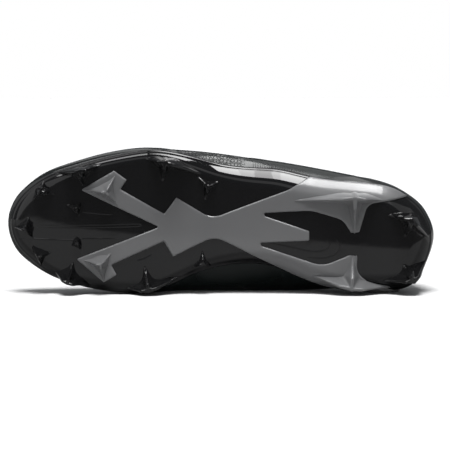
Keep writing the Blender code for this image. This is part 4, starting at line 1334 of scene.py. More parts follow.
@dataclass
class SolePlate:
    """Glossy black plate with its rolled rim, its low ribs and the black studs."""

    steps: int = 10
    rungs: int = 40
    lip_height: float = 0.0005
    lip_width: float = 0.0018
    lip_steps: int = 7
    lip_round: float = 0.8
    edge_bulge: float = 0.00035
    edge_shares: tuple[float, ...] = (0.2, 0.5, 0.8)
    edge_from: float = 0.0005
    outer_insets: tuple[float, ...] = (
        0.0150, 0.0125, 0.0102, 0.0082, 0.0065, 0.0050, 0.0037, 0.0028, 0.0022,
    )
    inner_insets: tuple[float, ...] = (0.0, 0.0008, 0.0028, 0.0065, 0.0102, 0.0150)
    rib_steps: int = 8
    rib_sides: int = 7
    rib_taper: tuple[float, float] = (8.0, 0.12)
    rib_foot: float = 0.8
    rib_sink: float = 0.0004
    studs: StudShape = field(default_factory=lambda: StudShape(ribbon=0.34, ribbon_end=0.85, crest=0.6))

    def profile(self) -> list[tuple[float, float]]:
        """Section of the plate, from the middle of the underside round the rim inside.

        Returns:
            Inset and lift of each ring. A negative inset stands out past the rim.
        """
        wall = SIZES.plate_wall
        section = [(inset, 0.0) for inset in self.outer_insets]
        for t in np.linspace(0, 1, self.lip_steps):
            drop = self.lip_height * math.sin(math.pi * t) ** self.lip_round
            section.append((self.lip_width * (1 - t), -drop))
        section += [(-self.edge_bulge * math.sin(math.pi * t), wall * t) for t in self.edge_shares]
        return section + [(inset, wall) for inset in self.inner_insets]

    def build(self) -> bpy.types.Object:
        """Makes the plate, its ribs and its studs as one piece.

        Returns:
            The finished piece.
        """
        mould = Mould()
        ring, inward = FORM.rim_columns(self.steps)
        slope = unit(FORM.skin(ring, 0.0) - FORM.skin(ring + self.edge_from * inward, 0.0))
        rings = []
        for inset, lift in self.profile():
            if inset >= 0:
                rings.append(FORM.skin(ring + inset * inward, lift))
            else:
                rings.append(FORM.skin(ring, lift) - inset * slope)
        mould.add(np.concatenate(rings), grid_faces(len(rings), len(ring), True))
        inner = ring + self.inner_insets[-1] * inward
        self.add_middle(mould, inner, 0, 0.0)
        self.add_middle(mould, inner, (len(rings) - 1) * len(ring), SIZES.plate_wall)
        for stud in PLATE_STUDS:
            self.studs.add(mould, stud, 0.0)
        for rib in RIBS:
            self.add_rib(mould, rib)
        return mould.finish("sole_plate_dressed", sharp_deg=30.0)

    def add_middle(self, mould: Mould, plan: Array, first: int, lift: float) -> None:
        """Fills the middle of one skin inside its last ring.

        Args:
            mould: The piece that takes the faces.
            plan: Plan points of that ring.
            first: Index of the ring's first point.
            lift: Lift of the skin.
        """
        columns, half = len(plan), len(plan) // 2
        share = (np.arange(1, self.rungs) / self.rungs)[:, None]
        inner = [plan[i] * (1 - share) + plan[-i] * share for i in range(1, half)]
        start = mould.add(FORM.skin(np.concatenate(inner), lift), [])

        def rung(i: int) -> list[int]:
            """Indices of the points on the line across the middle at one column."""
            begin = start + (i - 1) * (self.rungs - 1)
            return [first + i, *range(begin, begin + self.rungs - 1), first + columns - i]

        for i in range(1, half - 1):
            here, there = rung(i), rung(i + 1)
            for k in range(self.rungs):
                mould.faces.append((here[k], there[k], there[k + 1], here[k + 1]))
        for end, row in ((first, rung(1)), (first + half, rung(half - 1))):
            for k in range(self.rungs):
                mould.faces.append((end, row[k], row[k + 1]))

    def add_rib(self, mould: Mould, rib: Rib) -> None:
        """Adds a low rounded rib that narrows to a point at both ends.

        Args:
            mould: The piece that takes the rib.
            rib: The rib.
        """
        points = [plan_point(*station) for station in rib.stations]
        path = open_curve(points, self.rib_steps * len(points))
        tangent = unit(np.gradient(path, axis=0))
        aside = np.column_stack([-tangent[:, 1], tangent[:, 0]])
        share = np.linspace(0, 1, len(path))
        gain, least = self.rib_taper
        swell = np.clip(np.minimum(share, 1 - share) * gain, least, 1) ** 0.5
        rings = []
        for angle in np.linspace(0, math.pi, self.rib_sides):
            plan = path + aside * (math.cos(angle) * rib.width * swell)[:, None]
            rings.append(FORM.skin(plan, -math.sin(angle) * rib.height * swell))
        for side in (-self.rib_foot, self.rib_foot):
            rings.append(FORM.skin(path + aside * (side * rib.width * swell)[:, None], self.rib_sink))
        mould.tube(np.stack(rings, 1))


@dataclass
class ChassisOverlay:
    """Grey X-shaped moulding that lies on the plate, with its four studs.

    chamfer holds the inset and the drop of each ring of its edge, as shares of bevel.
    """

    bevel: float = 0.0007
    chamfer: tuple[tuple[float, float], ...] = (
        (0.0, 1.0), (0.04, 0.90), (0.12, 0.80), (0.80, 0.12), (0.90, 0.04), (1.0, 0.0),
    )
    spacing: float = 0.0016
    row_share: float = 0.87
    edge_share: float = 0.45
    rim_clear: float = 0.0006
    corner_room: float = 0.45
    corner_step: float = 0.0006
    corner_steps: tuple[int, int] = (4, 16)
    least_step: float = 0.00012
    studs: StudShape = field(default_factory=StudShape)

    def outline(self) -> Array:
        """Outline through the rounded corners, kept inside the rim.

        Returns:
            Plan points, once round.
        """
        points = [plan_point(corner.along, corner.across) for corner in CHASSIS]
        least, most = self.corner_steps
        outline: list[Array] = []
        for k, corner in enumerate(CHASSIS):
            here, back, ahead = points[k], points[k - 1], points[(k + 1) % len(points)]
            to_back, to_ahead = unit(back - here), unit(ahead - here)
            turn = math.acos(max(-1.0, min(1.0, float(to_back @ to_ahead))))
            room = self.corner_room * min(np.linalg.norm(back - here), np.linalg.norm(ahead - here))
            trim = min(corner.radius / math.tan(turn / 2), room)
            start, end = here + trim * to_back, here + trim * to_ahead
            if outline:
                outline += self.straight(outline[-1], start)
            arcs = max(least, min(most, int(trim / self.corner_step)))
            for t in np.arange(arcs + 1) / arcs:
                outline.append((1 - t) ** 2 * start + 2 * t * (1 - t) * here + t**2 * end)
        outline += self.straight(outline[-1], outline[0])
        return self.inside(np.array(outline))

    def straight(self, start: Array, end: Array) -> list[Array]:
        """Points between two ends of a straight stretch."""
        count = int(np.linalg.norm(end - start) / self.spacing)
        return [start + (end - start) * k / (count + 1) for k in range(1, count + 1)]

    def inside(self, outline: Array) -> Array:
        """The outline with what lies beyond the rim brought back to it.

        Args:
            outline: Plan points.

        Returns:
            The moved points, without those that would fall together.
        """
        ring, inward = FORM.rim_columns(FORM.near_steps)
        ring = ring + self.rim_clear * inward
        path: list[Array] = []
        for point in outline:
            nearest = int(np.linalg.norm(ring - point, axis=1).argmin())
            if float((point - ring[nearest]) @ inward[nearest]) < 0:
                point = ring[nearest]
            if not path or np.linalg.norm(point - path[-1]) > self.least_step:
                path.append(point)
        return np.array(path)

    def build(self) -> bpy.types.Object:
        """Makes the overlay and its studs as one piece.

        Returns:
            The finished piece.
        """
        mould = Mould()
        outline = self.outline()
        after = np.roll(outline, -1, 0)
        area = (outline[:, 0] * after[:, 1] - after[:, 0] * outline[:, 1]).sum()
        inward = -math.copysign(1.0, area) * square_to(outline)
        low = -SIZES.seat_gap
        high = low - SIZES.chassis_wall
        rings = [FORM.skin(outline, low)]
        for inset, drop in self.chamfer:
            rings.append(FORM.skin(outline + inward * self.bevel * inset, high + self.bevel * drop))
        count = len(outline)
        mould.add(np.concatenate(rings), grid_faces(len(rings), count, True))
        self.fill(mould, (len(rings) - 1) * count, outline + inward * self.bevel, high)
        self.fill(mould, 0, outline, low)
        for stud in CHASSIS_STUDS:
            self.studs.add(mould, stud, high)
        return mould.finish("chassis_dressed", sharp_deg=38.0)

    def fill(self, mould: Mould, start: int, plan: Array, lift: float) -> None:
        """Fills an outline with triangles that follow the sole's skin.

        Args:
            mould: The piece that takes the triangles.
            start: Index of the outline's first point.
            plan: The outline's plan points.
            lift: Lift of the skin.
        """
        count = len(plan)
        low, high = plan.min(0), plan.max(0)
        grid = []
        for row, y in enumerate(np.arange(low[1], high[1], self.spacing * self.row_share)):
            for x in np.arange(low[0] + (row % 2) * self.spacing / 2, high[0], self.spacing):
                grid.append((x, y))
        grid = np.array(grid)
        near = np.array([np.linalg.norm(plan - point, axis=1).min() for point in grid])
        grid = grid[near > self.spacing * self.edge_share]
        edges = [(i, (i + 1) % count) for i in range(count)]
        flat = [Vector(point) for point in np.concatenate([plan, grid])]
        points, _, faces, origins, _, _ = geometry.delaunay_2d_cdt(flat, edges, [], 1, 1e-7)
        first = mould.add(FORM.skin(np.array([tuple(p) for p in points]), lift), [])
        index = {}
        for new, old in enumerate(origins):
            ring = [i for i in old if i < count]
            index[new] = start + ring[0] if ring else first + new
        for face in faces:
            mould.faces.append(tuple(index[i] for i in face))


PAD_FADE = (0.10, 0.03)
PAD_BAND = (0.40, 0.60)


def wall_at(points: Array) -> Array:
    """Thickness of the upper's wall, which grows towards the padded collar.

    Args:
        points: Points of the standing shoe, along the last axis.

    Returns:
        One thickness for each point.
    """
    s = SIZES
    back = np.interp(points[..., 0] / s.length, [s.throat_back - share for share in PAD_FADE], (1, 0))
    high = np.interp((points[..., 2] - s.stud_height) / s.upper_height, PAD_BAND, (0, 1))
    thin = s.upper_wall / s.collar_pad
    return s.collar_pad * (thin + (1 - thin) * back * high)


@dataclass
class UpperShell:
    """Hollow upper with its eyelets."""

    steps: int = 8
    levels: tuple[int, ...] = (10, 10, 8)
    margin: tuple[float, ...] = (0.0120, 0.0095, 0.0070, 0.0048, 0.0028, 0.0012, 0.0)
    eyelet_sides: int = 20
    post_reach: float = 0.004
    edge_bevel: float = 0.0004
    edge_deg: float = 50.0
    sharp_deg: float = 42.0

    def build(self) -> bpy.types.Object:
        """Makes the hollow shell with its eyelets cut.

        Returns:
            The finished piece.
        """
        ring, inward = FORM.rim_columns(self.steps)
        columns = len(ring)
        lift = SIZES.plate_wall + SIZES.seat_gap
        rows = [FORM.skin(ring + inset * inward, lift) for inset in self.margin]
        numbers = np.arange(columns) * LAST.fine / self.steps
        for part, count in enumerate(self.levels):
            for step in range(0 if part == 0 else 1, count + 1):
                rows.append(LAST.point(numbers, np.full(columns, part + step / count)))
        outside = np.array(rows)
        index = np.arange(len(rows) * columns).reshape(len(rows), columns)
        closed = LAST.closed[:: LAST.fine // self.steps]
        for i in range(columns // 2 + 1, columns):
            if closed[i]:
                index[-1, i] = index[-1, columns - i]
        skin = []
        for k in range(len(rows) - 1):
            for i in range(columns):
                j = (i + 1) % columns
                face = (index[k, i], index[k + 1, i], index[k + 1, j], index[k, j])
                skin.append(tuple(dict.fromkeys(face)))
        mould = Mould()
        mould.add(outside, skin)
        far = mould.add(self.inner_skin(outside), [tuple(reversed(face)) for face in skin])
        for i in range(columns):
            j = (i + 1) % columns
            mould.faces.append((i, j, j + far, i + far))
            a, b = int(index[-1, i]), int(index[-1, j])
            if not (closed[i] and closed[j]):
                mould.faces.append((a, a + far, b + far, b))
        piece = mould.finish("upper_dressed", self.sharp_deg)
        self.cut_eyelets(piece)
        edge = piece.modifiers.new("edges", "BEVEL")
        edge.width = self.edge_bevel
        edge.segments = 2
        edge.limit_method = "ANGLE"
        edge.angle_limit = math.radians(self.edge_deg)
        bake_modifiers(piece)
        shade(piece.data, self.sharp_deg)
        return piece

    def inner_skin(self, grid: Array) -> Array:
        """The inside of the wall, square to the outside.

        Args:
            grid: Rows of points on the outside.

        Returns:
            The points behind them.
        """
        ahead = np.roll(grid, -1, 1) - np.roll(grid, 1, 1)
        normal = unit(np.cross(np.gradient(grid, axis=0), ahead))
        return grid - normal * wall_at(grid)[..., None]

    def posts(self) -> bpy.types.Object:
        """Round posts through the eyelets.

        Returns:
            The posts, joined in one cutter.
        """
        mould = Mould()
        for along in SIZES.eyelet_rows:
            for side in Side:
                across = side.value * (THROAT.half_gap(along) + SIZES.eyelet_inset)
                middle, normal = THROAT.at(along, across, 0.0)
                aside = unit(np.cross(normal, (1.0, 0.0, 0.0)))
                ahead = np.cross(aside, normal)
                turn = full_turn(self.eyelet_sides)[:, None]
                circle = middle + SIZES.eyelet_radius * (np.cos(turn) * aside + np.sin(turn) * ahead)
                mould.tube(np.array([circle - self.post_reach * normal, circle + self.post_reach * normal]))
        return mould.finish("eyelet_posts", sharp_deg=60.0)

    def cut_eyelets(self, piece: bpy.types.Object) -> None:
        """Cuts the eyelets through a piece.

        Args:
            piece: The piece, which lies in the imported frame.
        """
        posts = self.posts()
        hole = piece.modifiers.new("eyelets", "BOOLEAN")
        hole.operation = "DIFFERENCE"
        hole.solver = "EXACT"
        hole.object = posts
        bake_modifiers(piece)
        bpy.data.objects.remove(posts)


@dataclass
class Panel:
    """A thin film or overlay that lies on the upper between two curved borders."""

    name: str
    columns: Array
    low: Array
    high: Array
    thickness: float = 0.0005
    across: int = 14
    border_gain: float = 1.4
    border_sink: float = 0.0001
    back_sink: float = 0.0005

    def build(self) -> bpy.types.Object:
        """Makes the overlay with a rounded border.

        Returns:
            The finished piece.
        """
        share = np.linspace(0, 1, self.across)
        ends = np.linspace(0, 1, len(self.columns))
        level = self.low[:, None] * (1 - share) + self.high[:, None] * share
        by_end = np.minimum(ends, 1 - ends)[:, None] * len(ends)
        by_side = np.minimum(share, 1 - share)[None] * self.across * self.border_gain
        lift = self.thickness * np.clip(np.minimum(by_end, by_side), 0, 1) ** 0.5 - self.border_sink
        outside, normal = LAST.place(self.columns[:, None], level, lift)
        mould = Mould()
        mould.slab(outside, outside - normal * (lift + self.back_sink)[..., None])
        return mould.finish(self.name, sharp_deg=50.0)


@dataclass(frozen=True)
class EyestayForm:
    """Where the overlay along each side of the throat lies, as shares and guide numbers."""

    reach: tuple[float, float] = (0.385, 0.690)
    level: float = 2.30
    rise: float = 0.10
    sag: float = 0.12
    top: float = 2.97

    def low(self, share: Array) -> Array:
        """Guide number of the lower border, from the back end at 0 to the front end at 1."""
        return self.level + self.rise * share - self.sag * np.sin(math.pi * share)


EYESTAY = EyestayForm()


@dataclass
class UpperTrim:
    """Films, eyestays, collar binding and lining, and raised lines of the upper."""

    film_foot: float = 0.06
    heel_reach: float = 0.235
    heel_samples: int = 120
    heel_border: tuple[float, float, float] = (2.15, 1.75, 2.4)
    toe_from: float = 0.60
    toe_samples: int = 200
    toe_border: tuple[float, float, float] = (0.95, 0.75, 0.60)
    eyestay_samples: int = 90
    collar_back: float = 0.372
    collar_samples: int = 150
    binding_sides: int = 14
    binding_below: float = 2.9
    binding_taper: tuple[float, float] = (10, 0.2)
    binding_spare: float = 0.0007
    binding_rise: float = 0.0024
    binding_drop: float = 0.0006
    lining: float = 0.0008
    lining_gap: float = 0.0002
    lining_levels: tuple[float, float] = (1.0, 2.93)
    lining_rows: int = 18
    lining_taper: tuple[float, float] = (4, 1.5)
    lining_least: float = 0.15
    line_count: int = 4
    line_samples: int = 60
    line_sides: int = 8
    line_width: float = 0.0006
    line_height: float = 0.0004
    line_start: tuple[float, float] = (0.115, 0.018)
    line_end: tuple[float, float] = (0.40, 0.02)
    line_level: tuple[float, float] = (2.45, 0.16)
    line_fall: float = 1.25
    line_bend: float = 1.6
    line_taper: tuple[float, float] = (6.0, 0.1)

    def film(self, name: str, columns: Array, high: Array) -> bpy.types.Object:
        """Smooth film from the sole's edge up to a border."""
        return Panel(name, columns, np.full(len(columns), self.film_foot), high).build()

    def heel_counter(self) -> bpy.types.Object:
        """Smooth film round the heel, lower towards its ends.

        Returns:
            The finished piece.
        """
        reach = float(LAST.column_at(self.heel_reach, Side.OUTER))
        columns = np.linspace(-reach, reach, self.heel_samples)
        level, fall, power = self.heel_border
        return self.film("heel_counter_film", columns, level - fall * (np.abs(columns) / reach) ** power)

    def toe_film(self) -> bpy.types.Object:
        """Smooth film over the toe, lower at the sides.

        Returns:
            The finished piece.
        """
        start = float(LAST.column_at(self.toe_from, Side.OUTER))
        columns = np.linspace(start, LAST.columns - start, self.toe_samples)
        share = np.abs(np.linspace(-1, 1, self.toe_samples))
        level, rise, fall = self.toe_border
        return self.film("toe_film", columns, level + rise * (1 - share**3) - fall * share**6)

    def eyestays(self) -> list[bpy.types.Object]:
        """Overlay along each side of the throat, with its eyelets cut.

        Returns:
            The outer one and the inner one.
        """
        made = []
        share = np.linspace(0, 1, self.eyestay_samples)
        for side in Side:
            columns = LAST.column_at(np.linspace(*EYESTAY.reach, len(share)), side)
            high = np.full(len(share), EYESTAY.top)
            piece = Panel(f"eyestay_{side.name.lower()}", columns, EYESTAY.low(share), high).build()
            UpperShell().cut_eyelets(piece)
            shade(piece.data, 50.0)
            made.append(piece)
        return made

    def collar_columns(self) -> Array:
        """Columns round the collar, from its inner end over the heel to its outer end."""
        back = float(LAST.column_at(self.collar_back, Side.OUTER))
        return np.linspace(-back, back, self.collar_samples)

    def collar_binding(self) -> bpy.types.Object:
        """Rolled knit edge round the collar.

        Returns:
            The finished piece.
        """
        columns = self.collar_columns()
        edge, normal = LAST.place(columns, 3.0)
        rise = unit(edge - LAST.point(columns, np.full(len(columns), self.binding_below)))
        wall = wall_at(edge)
        narrow = taper(len(columns), *self.binding_taper)
        middle = edge - normal * (wall / 2)[:, None]
        rings = []
        for angle in full_turn(self.binding_sides):
            out = np.cos(angle) * (wall / 2 + self.binding_spare) * narrow
            up = np.sin(angle) * self.binding_rise * narrow - self.binding_drop
            rings.append(middle + normal * out[:, None] + rise * up[:, None])
        mould = Mould()
        mould.tube(np.stack(rings, 1))
        return mould.finish("collar_binding", sharp_deg=60.0)

    def collar_lining(self) -> bpy.types.Object:
        """Textile lining on the inside of the collar and the heel.

        Returns:
            The finished piece.
        """
        columns = self.collar_columns()
        skin, normal = LAST.place(columns[:, None], np.linspace(*self.lining_levels, self.lining_rows))
        near = skin - normal * (wall_at(skin) + self.lining_gap)[..., None]
        counts = (len(columns), self.lining_rows)
        ends, sides = (taper(n, reach, self.lining_least) for n, reach in zip(counts, self.lining_taper))
        far = near - normal * (self.lining * np.outer(ends, sides) ** 0.5)[..., None]
        mould = Mould()
        mould.tube(np.concatenate([near, far[:, ::-1]], 1))
        return mould.finish("collar_lining", sharp_deg=50.0)

    def raised_lines(self) -> bpy.types.Object:
        """Fine raised lines that sweep from the collar down to the arch.

        Returns:
            The lines of both sides as one piece.
        """
        mould = Mould()
        share = np.linspace(0, 1, self.line_samples)
        start, start_step = self.line_start
        end, end_step = self.line_end
        level, level_step = self.line_level
        for side in Side:
            for k in range(self.line_count):
                along = np.linspace(start + start_step * k, end + end_step * k, len(share))
                fall = self.line_fall * share**self.line_bend
                self.add_line(mould, LAST.column_at(along, side), level - level_step * k - fall)
        return mould.finish("raised_lines", sharp_deg=60.0)

    def add_line(self, mould: Mould, columns: Array, level: Array) -> None:
        """Adds one low rounded line on the upper, narrowed at both ends.

        Args:
            mould: The piece that takes the line.
            columns: Column numbers of its points.
            level: Guide numbers of its points.
        """
        centre, normal = LAST.place(columns, level)
        aside = np.cross(unit(np.gradient(centre, axis=0)), normal)
        share = np.linspace(0, 1, len(columns))
        gain, least = self.line_taper
        swell = np.clip(np.minimum(share, 1 - share) * gain, least, 1)[:, None] ** 0.5
        rings = []
        for angle in full_turn(self.line_sides):
            across = math.cos(angle) * self.line_width * aside
            rings.append(centre + swell * (across + math.sin(angle) * self.line_height * normal))
        mould.tube(np.stack(rings, 1))


class Bar(NamedTuple):
    """A repeated bar: distance from one to the next, and its sizes, in metres."""

    spacing: float
    length: float
    width: float
    height: float


class RepeatTree:
    """Geometry Nodes tree that places one rounded bar after another along paths."""

    labels = ("Spacing", "Length", "Width", "Height")

    def __init__(self, name: str) -> None:
        """Builds the tree with its named inputs.

        Args:
            name: The tree's name.
        """
        self.tree = bpy.data.node_groups.new(name, "GeometryNodeTree")
        self.socket("Geometry", "INPUT", "NodeSocketGeometry")
        self.inputs = {label: self.socket(label, "INPUT", "NodeSocketFloat") for label in self.labels}
        self.material = self.socket("Material", "INPUT", "NodeSocketMaterial")
        self.socket("Geometry", "OUTPUT", "NodeSocketGeometry")
        self.fill(NodeBuilder(self.tree))

    def socket(self, label: str, way: str, kind: str) -> str:
        """Adds a socket to the tree's interface and returns its identifier."""
        return self.tree.interface.new_socket(label, in_out=way, socket_type=kind).identifier

    def fill(self, build: NodeBuilder) -> None:
        """Adds and links the tree's nodes.

        Args:
            build: Builder of the tree.
        """
        source = build.node("NodeGroupInput").outputs
        curve = build.node("GeometryNodeMeshToCurve", {"Mesh": source["Geometry"]})
        along = {"Curve": curve.outputs["Curve"], "Length": source["Spacing"]}
        spaced = build.node("GeometryNodeResampleCurve", along, mode="LENGTH")
        tangent = build.node("GeometryNodeInputTangent").outputs["Tangent"]
        aim = build.node("FunctionNodeAlignRotationToVector", {"Vector": tangent}, axis="X")
        up = build.node("GeometryNodeInputNamedAttribute", {"Name": "up"}, data_type="FLOAT_VECTOR")
        upright = {"Rotation": aim.outputs["Rotation"], "Vector": up.outputs["Attribute"]}
        stand = build.node("FunctionNodeAlignRotationToVector", upright, axis="Z", pivot_axis="X")
        ball = build.node("GeometryNodeMeshUVSphere", {"Segments": 8, "Rings": 5, "Radius": 0.5})
        sides = {axis: source[label] for axis, label in zip("XYZ", self.labels[1:])}
        size = build.node("ShaderNodeCombineXYZ", sides).outputs["Vector"]
        shape = build.node("GeometryNodeTransform", {"Geometry": ball.outputs["Mesh"], "Scale": size})
        placed = build.node("GeometryNodeInstanceOnPoints", {
            "Points": spaced.outputs["Curve"],
            "Instance": shape.outputs["Geometry"],
            "Rotation": stand.outputs["Rotation"],
        })
        real = build.node("GeometryNodeRealizeInstances", {"Geometry": placed.outputs["Instances"]})
        smooth = build.node("GeometryNodeSetShadeSmooth", {"Geometry": real.outputs["Geometry"]})
        look = {"Geometry": smooth.outputs["Geometry"], "Material": source["Material"]}
        dressed = build.node("GeometryNodeSetMaterial", look)
        build.node("NodeGroupOutput", {"Geometry": dressed.outputs["Geometry"]})

    def build(
        self, name: str, paths: list[tuple[Array, Array]], bar: Bar, look: bpy.types.Material
    ) -> bpy.types.Object:
        """Runs the tree along some paths.

        Args:
            name: The new piece's name.
            paths: Points of the standing shoe and their normals, for each path.
            bar: Sizes of the repeated bar.
            look: The material of the result.

        Returns:
            The new object as a plain mesh.
        """
        points, edges, ups = [], [], []
        for path, normals in paths:
            first = len(points)
            points += path.tolist()
            ups += normals.tolist()
            edges += [(first + k, first + k + 1) for k in range(len(path) - 1)]
        mesh = bpy.data.meshes.new(name)
        mesh.from_pydata(points, edges, [])
        mesh.transform(LAID)
        turned = np.array(ups) @ np.array(LAID.to_3x3()).T
        mesh.attributes.new("up", "FLOAT_VECTOR", "POINT").data.foreach_set("vector", turned.ravel())
        piece = linked(name, mesh)
        run = piece.modifiers.new("repeat", "NODES")
        run.node_group = self.tree
        for label, value in zip(self.labels, bar):
            run[self.inputs[label]] = value
        run[self.material] = look
        bake_modifiers(piece)
        return piece


class SeamLine(NamedTuple):
    """Path of a seam: places along the shoe, guide number and height over the upper."""

    start: float
    end: float
    level: float | None
    lift: float


@dataclass
class Seams:
    """Stitches and the hatched band, placed by the repeating tree."""

    tree: RepeatTree
    samples: int = 120
    stitch: Bar = Bar(0.0029, 0.0022, 0.0006, 0.0005)
    hatch: Bar = Bar(0.0016, 0.0007, 0.0046, 0.0004)
    over_border: float = 0.035
    stitched: tuple[SeamLine, ...] = (
        SeamLine(0.388, 0.688, None, 0.0006),
        SeamLine(0.388, 0.688, 2.93, 0.0006),
        SeamLine(0.0, 0.355, 2.80, 0.0001),
    )
    hatched: SeamLine = SeamLine(0.205, 0.425, 0.34, 0.0)

    def path(self, line: SeamLine, side: Side) -> tuple[Array, Array]:
        """Path of a seam on the upper.

        Args:
            line: The seam. Without a level it follows the eyestay's lower border.
            side: The side of the foot.

        Returns:
            The points and the outward normals.
        """
        level = line.level
        if level is None:
            level = EYESTAY.low(np.linspace(0, 1, self.samples)) + self.over_border
        along = np.linspace(line.start, line.end, self.samples)
        return LAST.place(LAST.column_at(along, side), level, line.lift)

    def stitching(self, look: bpy.types.Material) -> bpy.types.Object:
        """Stitches along the eyestays and the collar."""
        paths = [self.path(line, side) for side in Side for line in self.stitched]
        return self.tree.build("upper_stitches", paths, self.stitch, look)

    def hatching(self, look: bpy.types.Material) -> bpy.types.Object:
        """Short upright bars low on the outer quarter."""
        return self.tree.build("quarter_hatching", [self.path(self.hatched, Side.OUTER)], self.hatch, look)


@dataclass
class Insole:
    """Sock liner in the cup."""

    steps: int = 6
    rungs: int = 16
    insets: tuple[float, ...] = (0.0050, 0.0056, 0.0070, 0.0095, 0.0120)
    bulge: float = 0.0003

    def build(self) -> bpy.types.Object:
        """Makes the liner with a rounded edge.

        Returns:
            The finished piece.
        """
        low = SIZES.plate_wall + SIZES.upper_wall + 2 * SIZES.seat_gap
        high = low + SIZES.insole_thickness
        ring, inward = FORM.rim_columns(self.steps)
        section = [(inset, low) for inset in reversed(self.insets)]
        section.append((self.insets[0] - self.bulge, (low + high) / 2))
        section += [(inset, high) for inset in self.insets]
        rings = [FORM.skin(ring + inset * inward, lift) for inset, lift in section]
        mould = Mould()
        mould.add(np.concatenate(rings), grid_faces(len(rings), len(ring), True))
        inner = ring + self.insets[-1] * inward
        plate = SolePlate(rungs=self.rungs)
        plate.add_middle(mould, inner, 0, low)
        plate.add_middle(mould, inner, (len(rings) - 1) * len(ring), high)
        return mould.finish("insole_dressed", sharp_deg=50.0)


@dataclass
class Tongue:
    """Padded tongue, thinner at its edge, with an end that stands up behind the laces."""

    across: int = 25
    along: int = 56
    front_gap: float = 0.015
    climb: int = 18
    rise: tuple[float, float, float] = (-0.42, 0.0, 0.91)
    lean: float = 0.24
    tuck: float = 0.10
    round_from: float = 0.62
    end_width: float = 0.45
    bend_rows: int = 5
    bend_rounds: int = 8
    edge: float = 0.28
    edge_rows: int = 4
    puff: float = 0.6
    puff_rows: int = 6

    def surface(self, depth: float) -> Array:
        """Grid of points under the instep, with the part that stands up behind.

        Args:
            depth: Distance under the instep's surface.

        Returns:
            Rows of points, from the standing end to the front.
        """
        s = SIZES
        places = np.linspace(s.tongue_bend, s.vamp_cover - self.front_gap, self.along)
        widths = np.linspace(-s.tongue_half_width, s.tongue_half_width, self.across)
        rows = [[THROAT.at(a, w, -depth)[0] for w in widths] for a in places]
        base = np.array(rows[0])
        middle = base[self.across // 2]
        for share in np.linspace(0, 1, self.climb + 1)[1:]:
            late = min(max((share - self.round_from) / (1 - self.round_from), 0.0), 1.0)
            end = self.end_width + (1 - self.end_width) * math.sqrt(1 - late**2)
            pull = 1 - (1 - share * self.lean) * end
            narrow = (middle - base) * np.array([0.0, pull, self.tuck * share])
            rows.insert(0, base + narrow + np.array(self.rise) * (share * s.tongue_reach))
        points = np.array(rows, float)
        soften(points[self.climb - self.bend_rows : self.climb + self.bend_rows + 1], self.bend_rounds)
        return points

    def build(self) -> bpy.types.Object:
        """Makes the tongue as a crowned closed form.

        Returns:
            The finished piece.
        """
        depth = SIZES.upper_wall + SIZES.tongue_gap
        outside, inside = self.surface(depth), self.surface(depth + SIZES.tongue_thickness)
        rows, columns = outside.shape[:2]
        across = np.abs(np.linspace(-1, 1, columns))
        down = taper(rows, self.edge_rows, 0)
        crown = np.clip(1 - across**6, 0, 1)[None] * down[:, None] ** 0.5
        standing = np.clip((self.climb + self.edge_rows - np.arange(rows)) / self.puff_rows, 0, 1)
        crown = self.edge + (1 - self.edge) * crown[..., None]
        crown = crown * (1 + self.puff * standing)[:, None, None]
        middle = (outside + inside) / 2
        mould = Mould()
        mould.slab(middle + (outside - middle) * crown, middle + (inside - middle) * crown)
        return mould.finish("tongue_dressed", sharp_deg=60.0)


class LaceStep(NamedTuple):
    """Listed station between two eyelets.

    The place is a share of the way to the next row. The side is 1 before the lace crosses
    and -1 after it. Shares of half the throat's width and of the eyelet's inset add up
    across, and shares of the levels over and under the upper add up to the height.
    """

    step: float
    side: int
    gap: float
    inset: float
    over: float
    under: float
    drop: float
    width: float


CROSSING = [
    LaceStep(0.10, 1, 1.00, 0.35, 1.0, 0.00, 0.0000, 0.9),
    LaceStep(0.26, 1, 0.78, 0.00, 1.0, 0.00, 0.0002, 1.0),
    LaceStep(0.46, 1, 0.20, 0.00, 1.0, 0.00, 0.0004, 1.0),
    LaceStep(0.64, -1, 0.42, 0.00, 0.0, 0.35, 0.0000, 1.0),
    LaceStep(0.80, -1, 0.88, 0.00, 0.0, 0.95, 0.0000, 1.0),
    LaceStep(0.93, -1, 1.00, 0.55, 0.0, 1.00, 0.0000, 0.9),
]


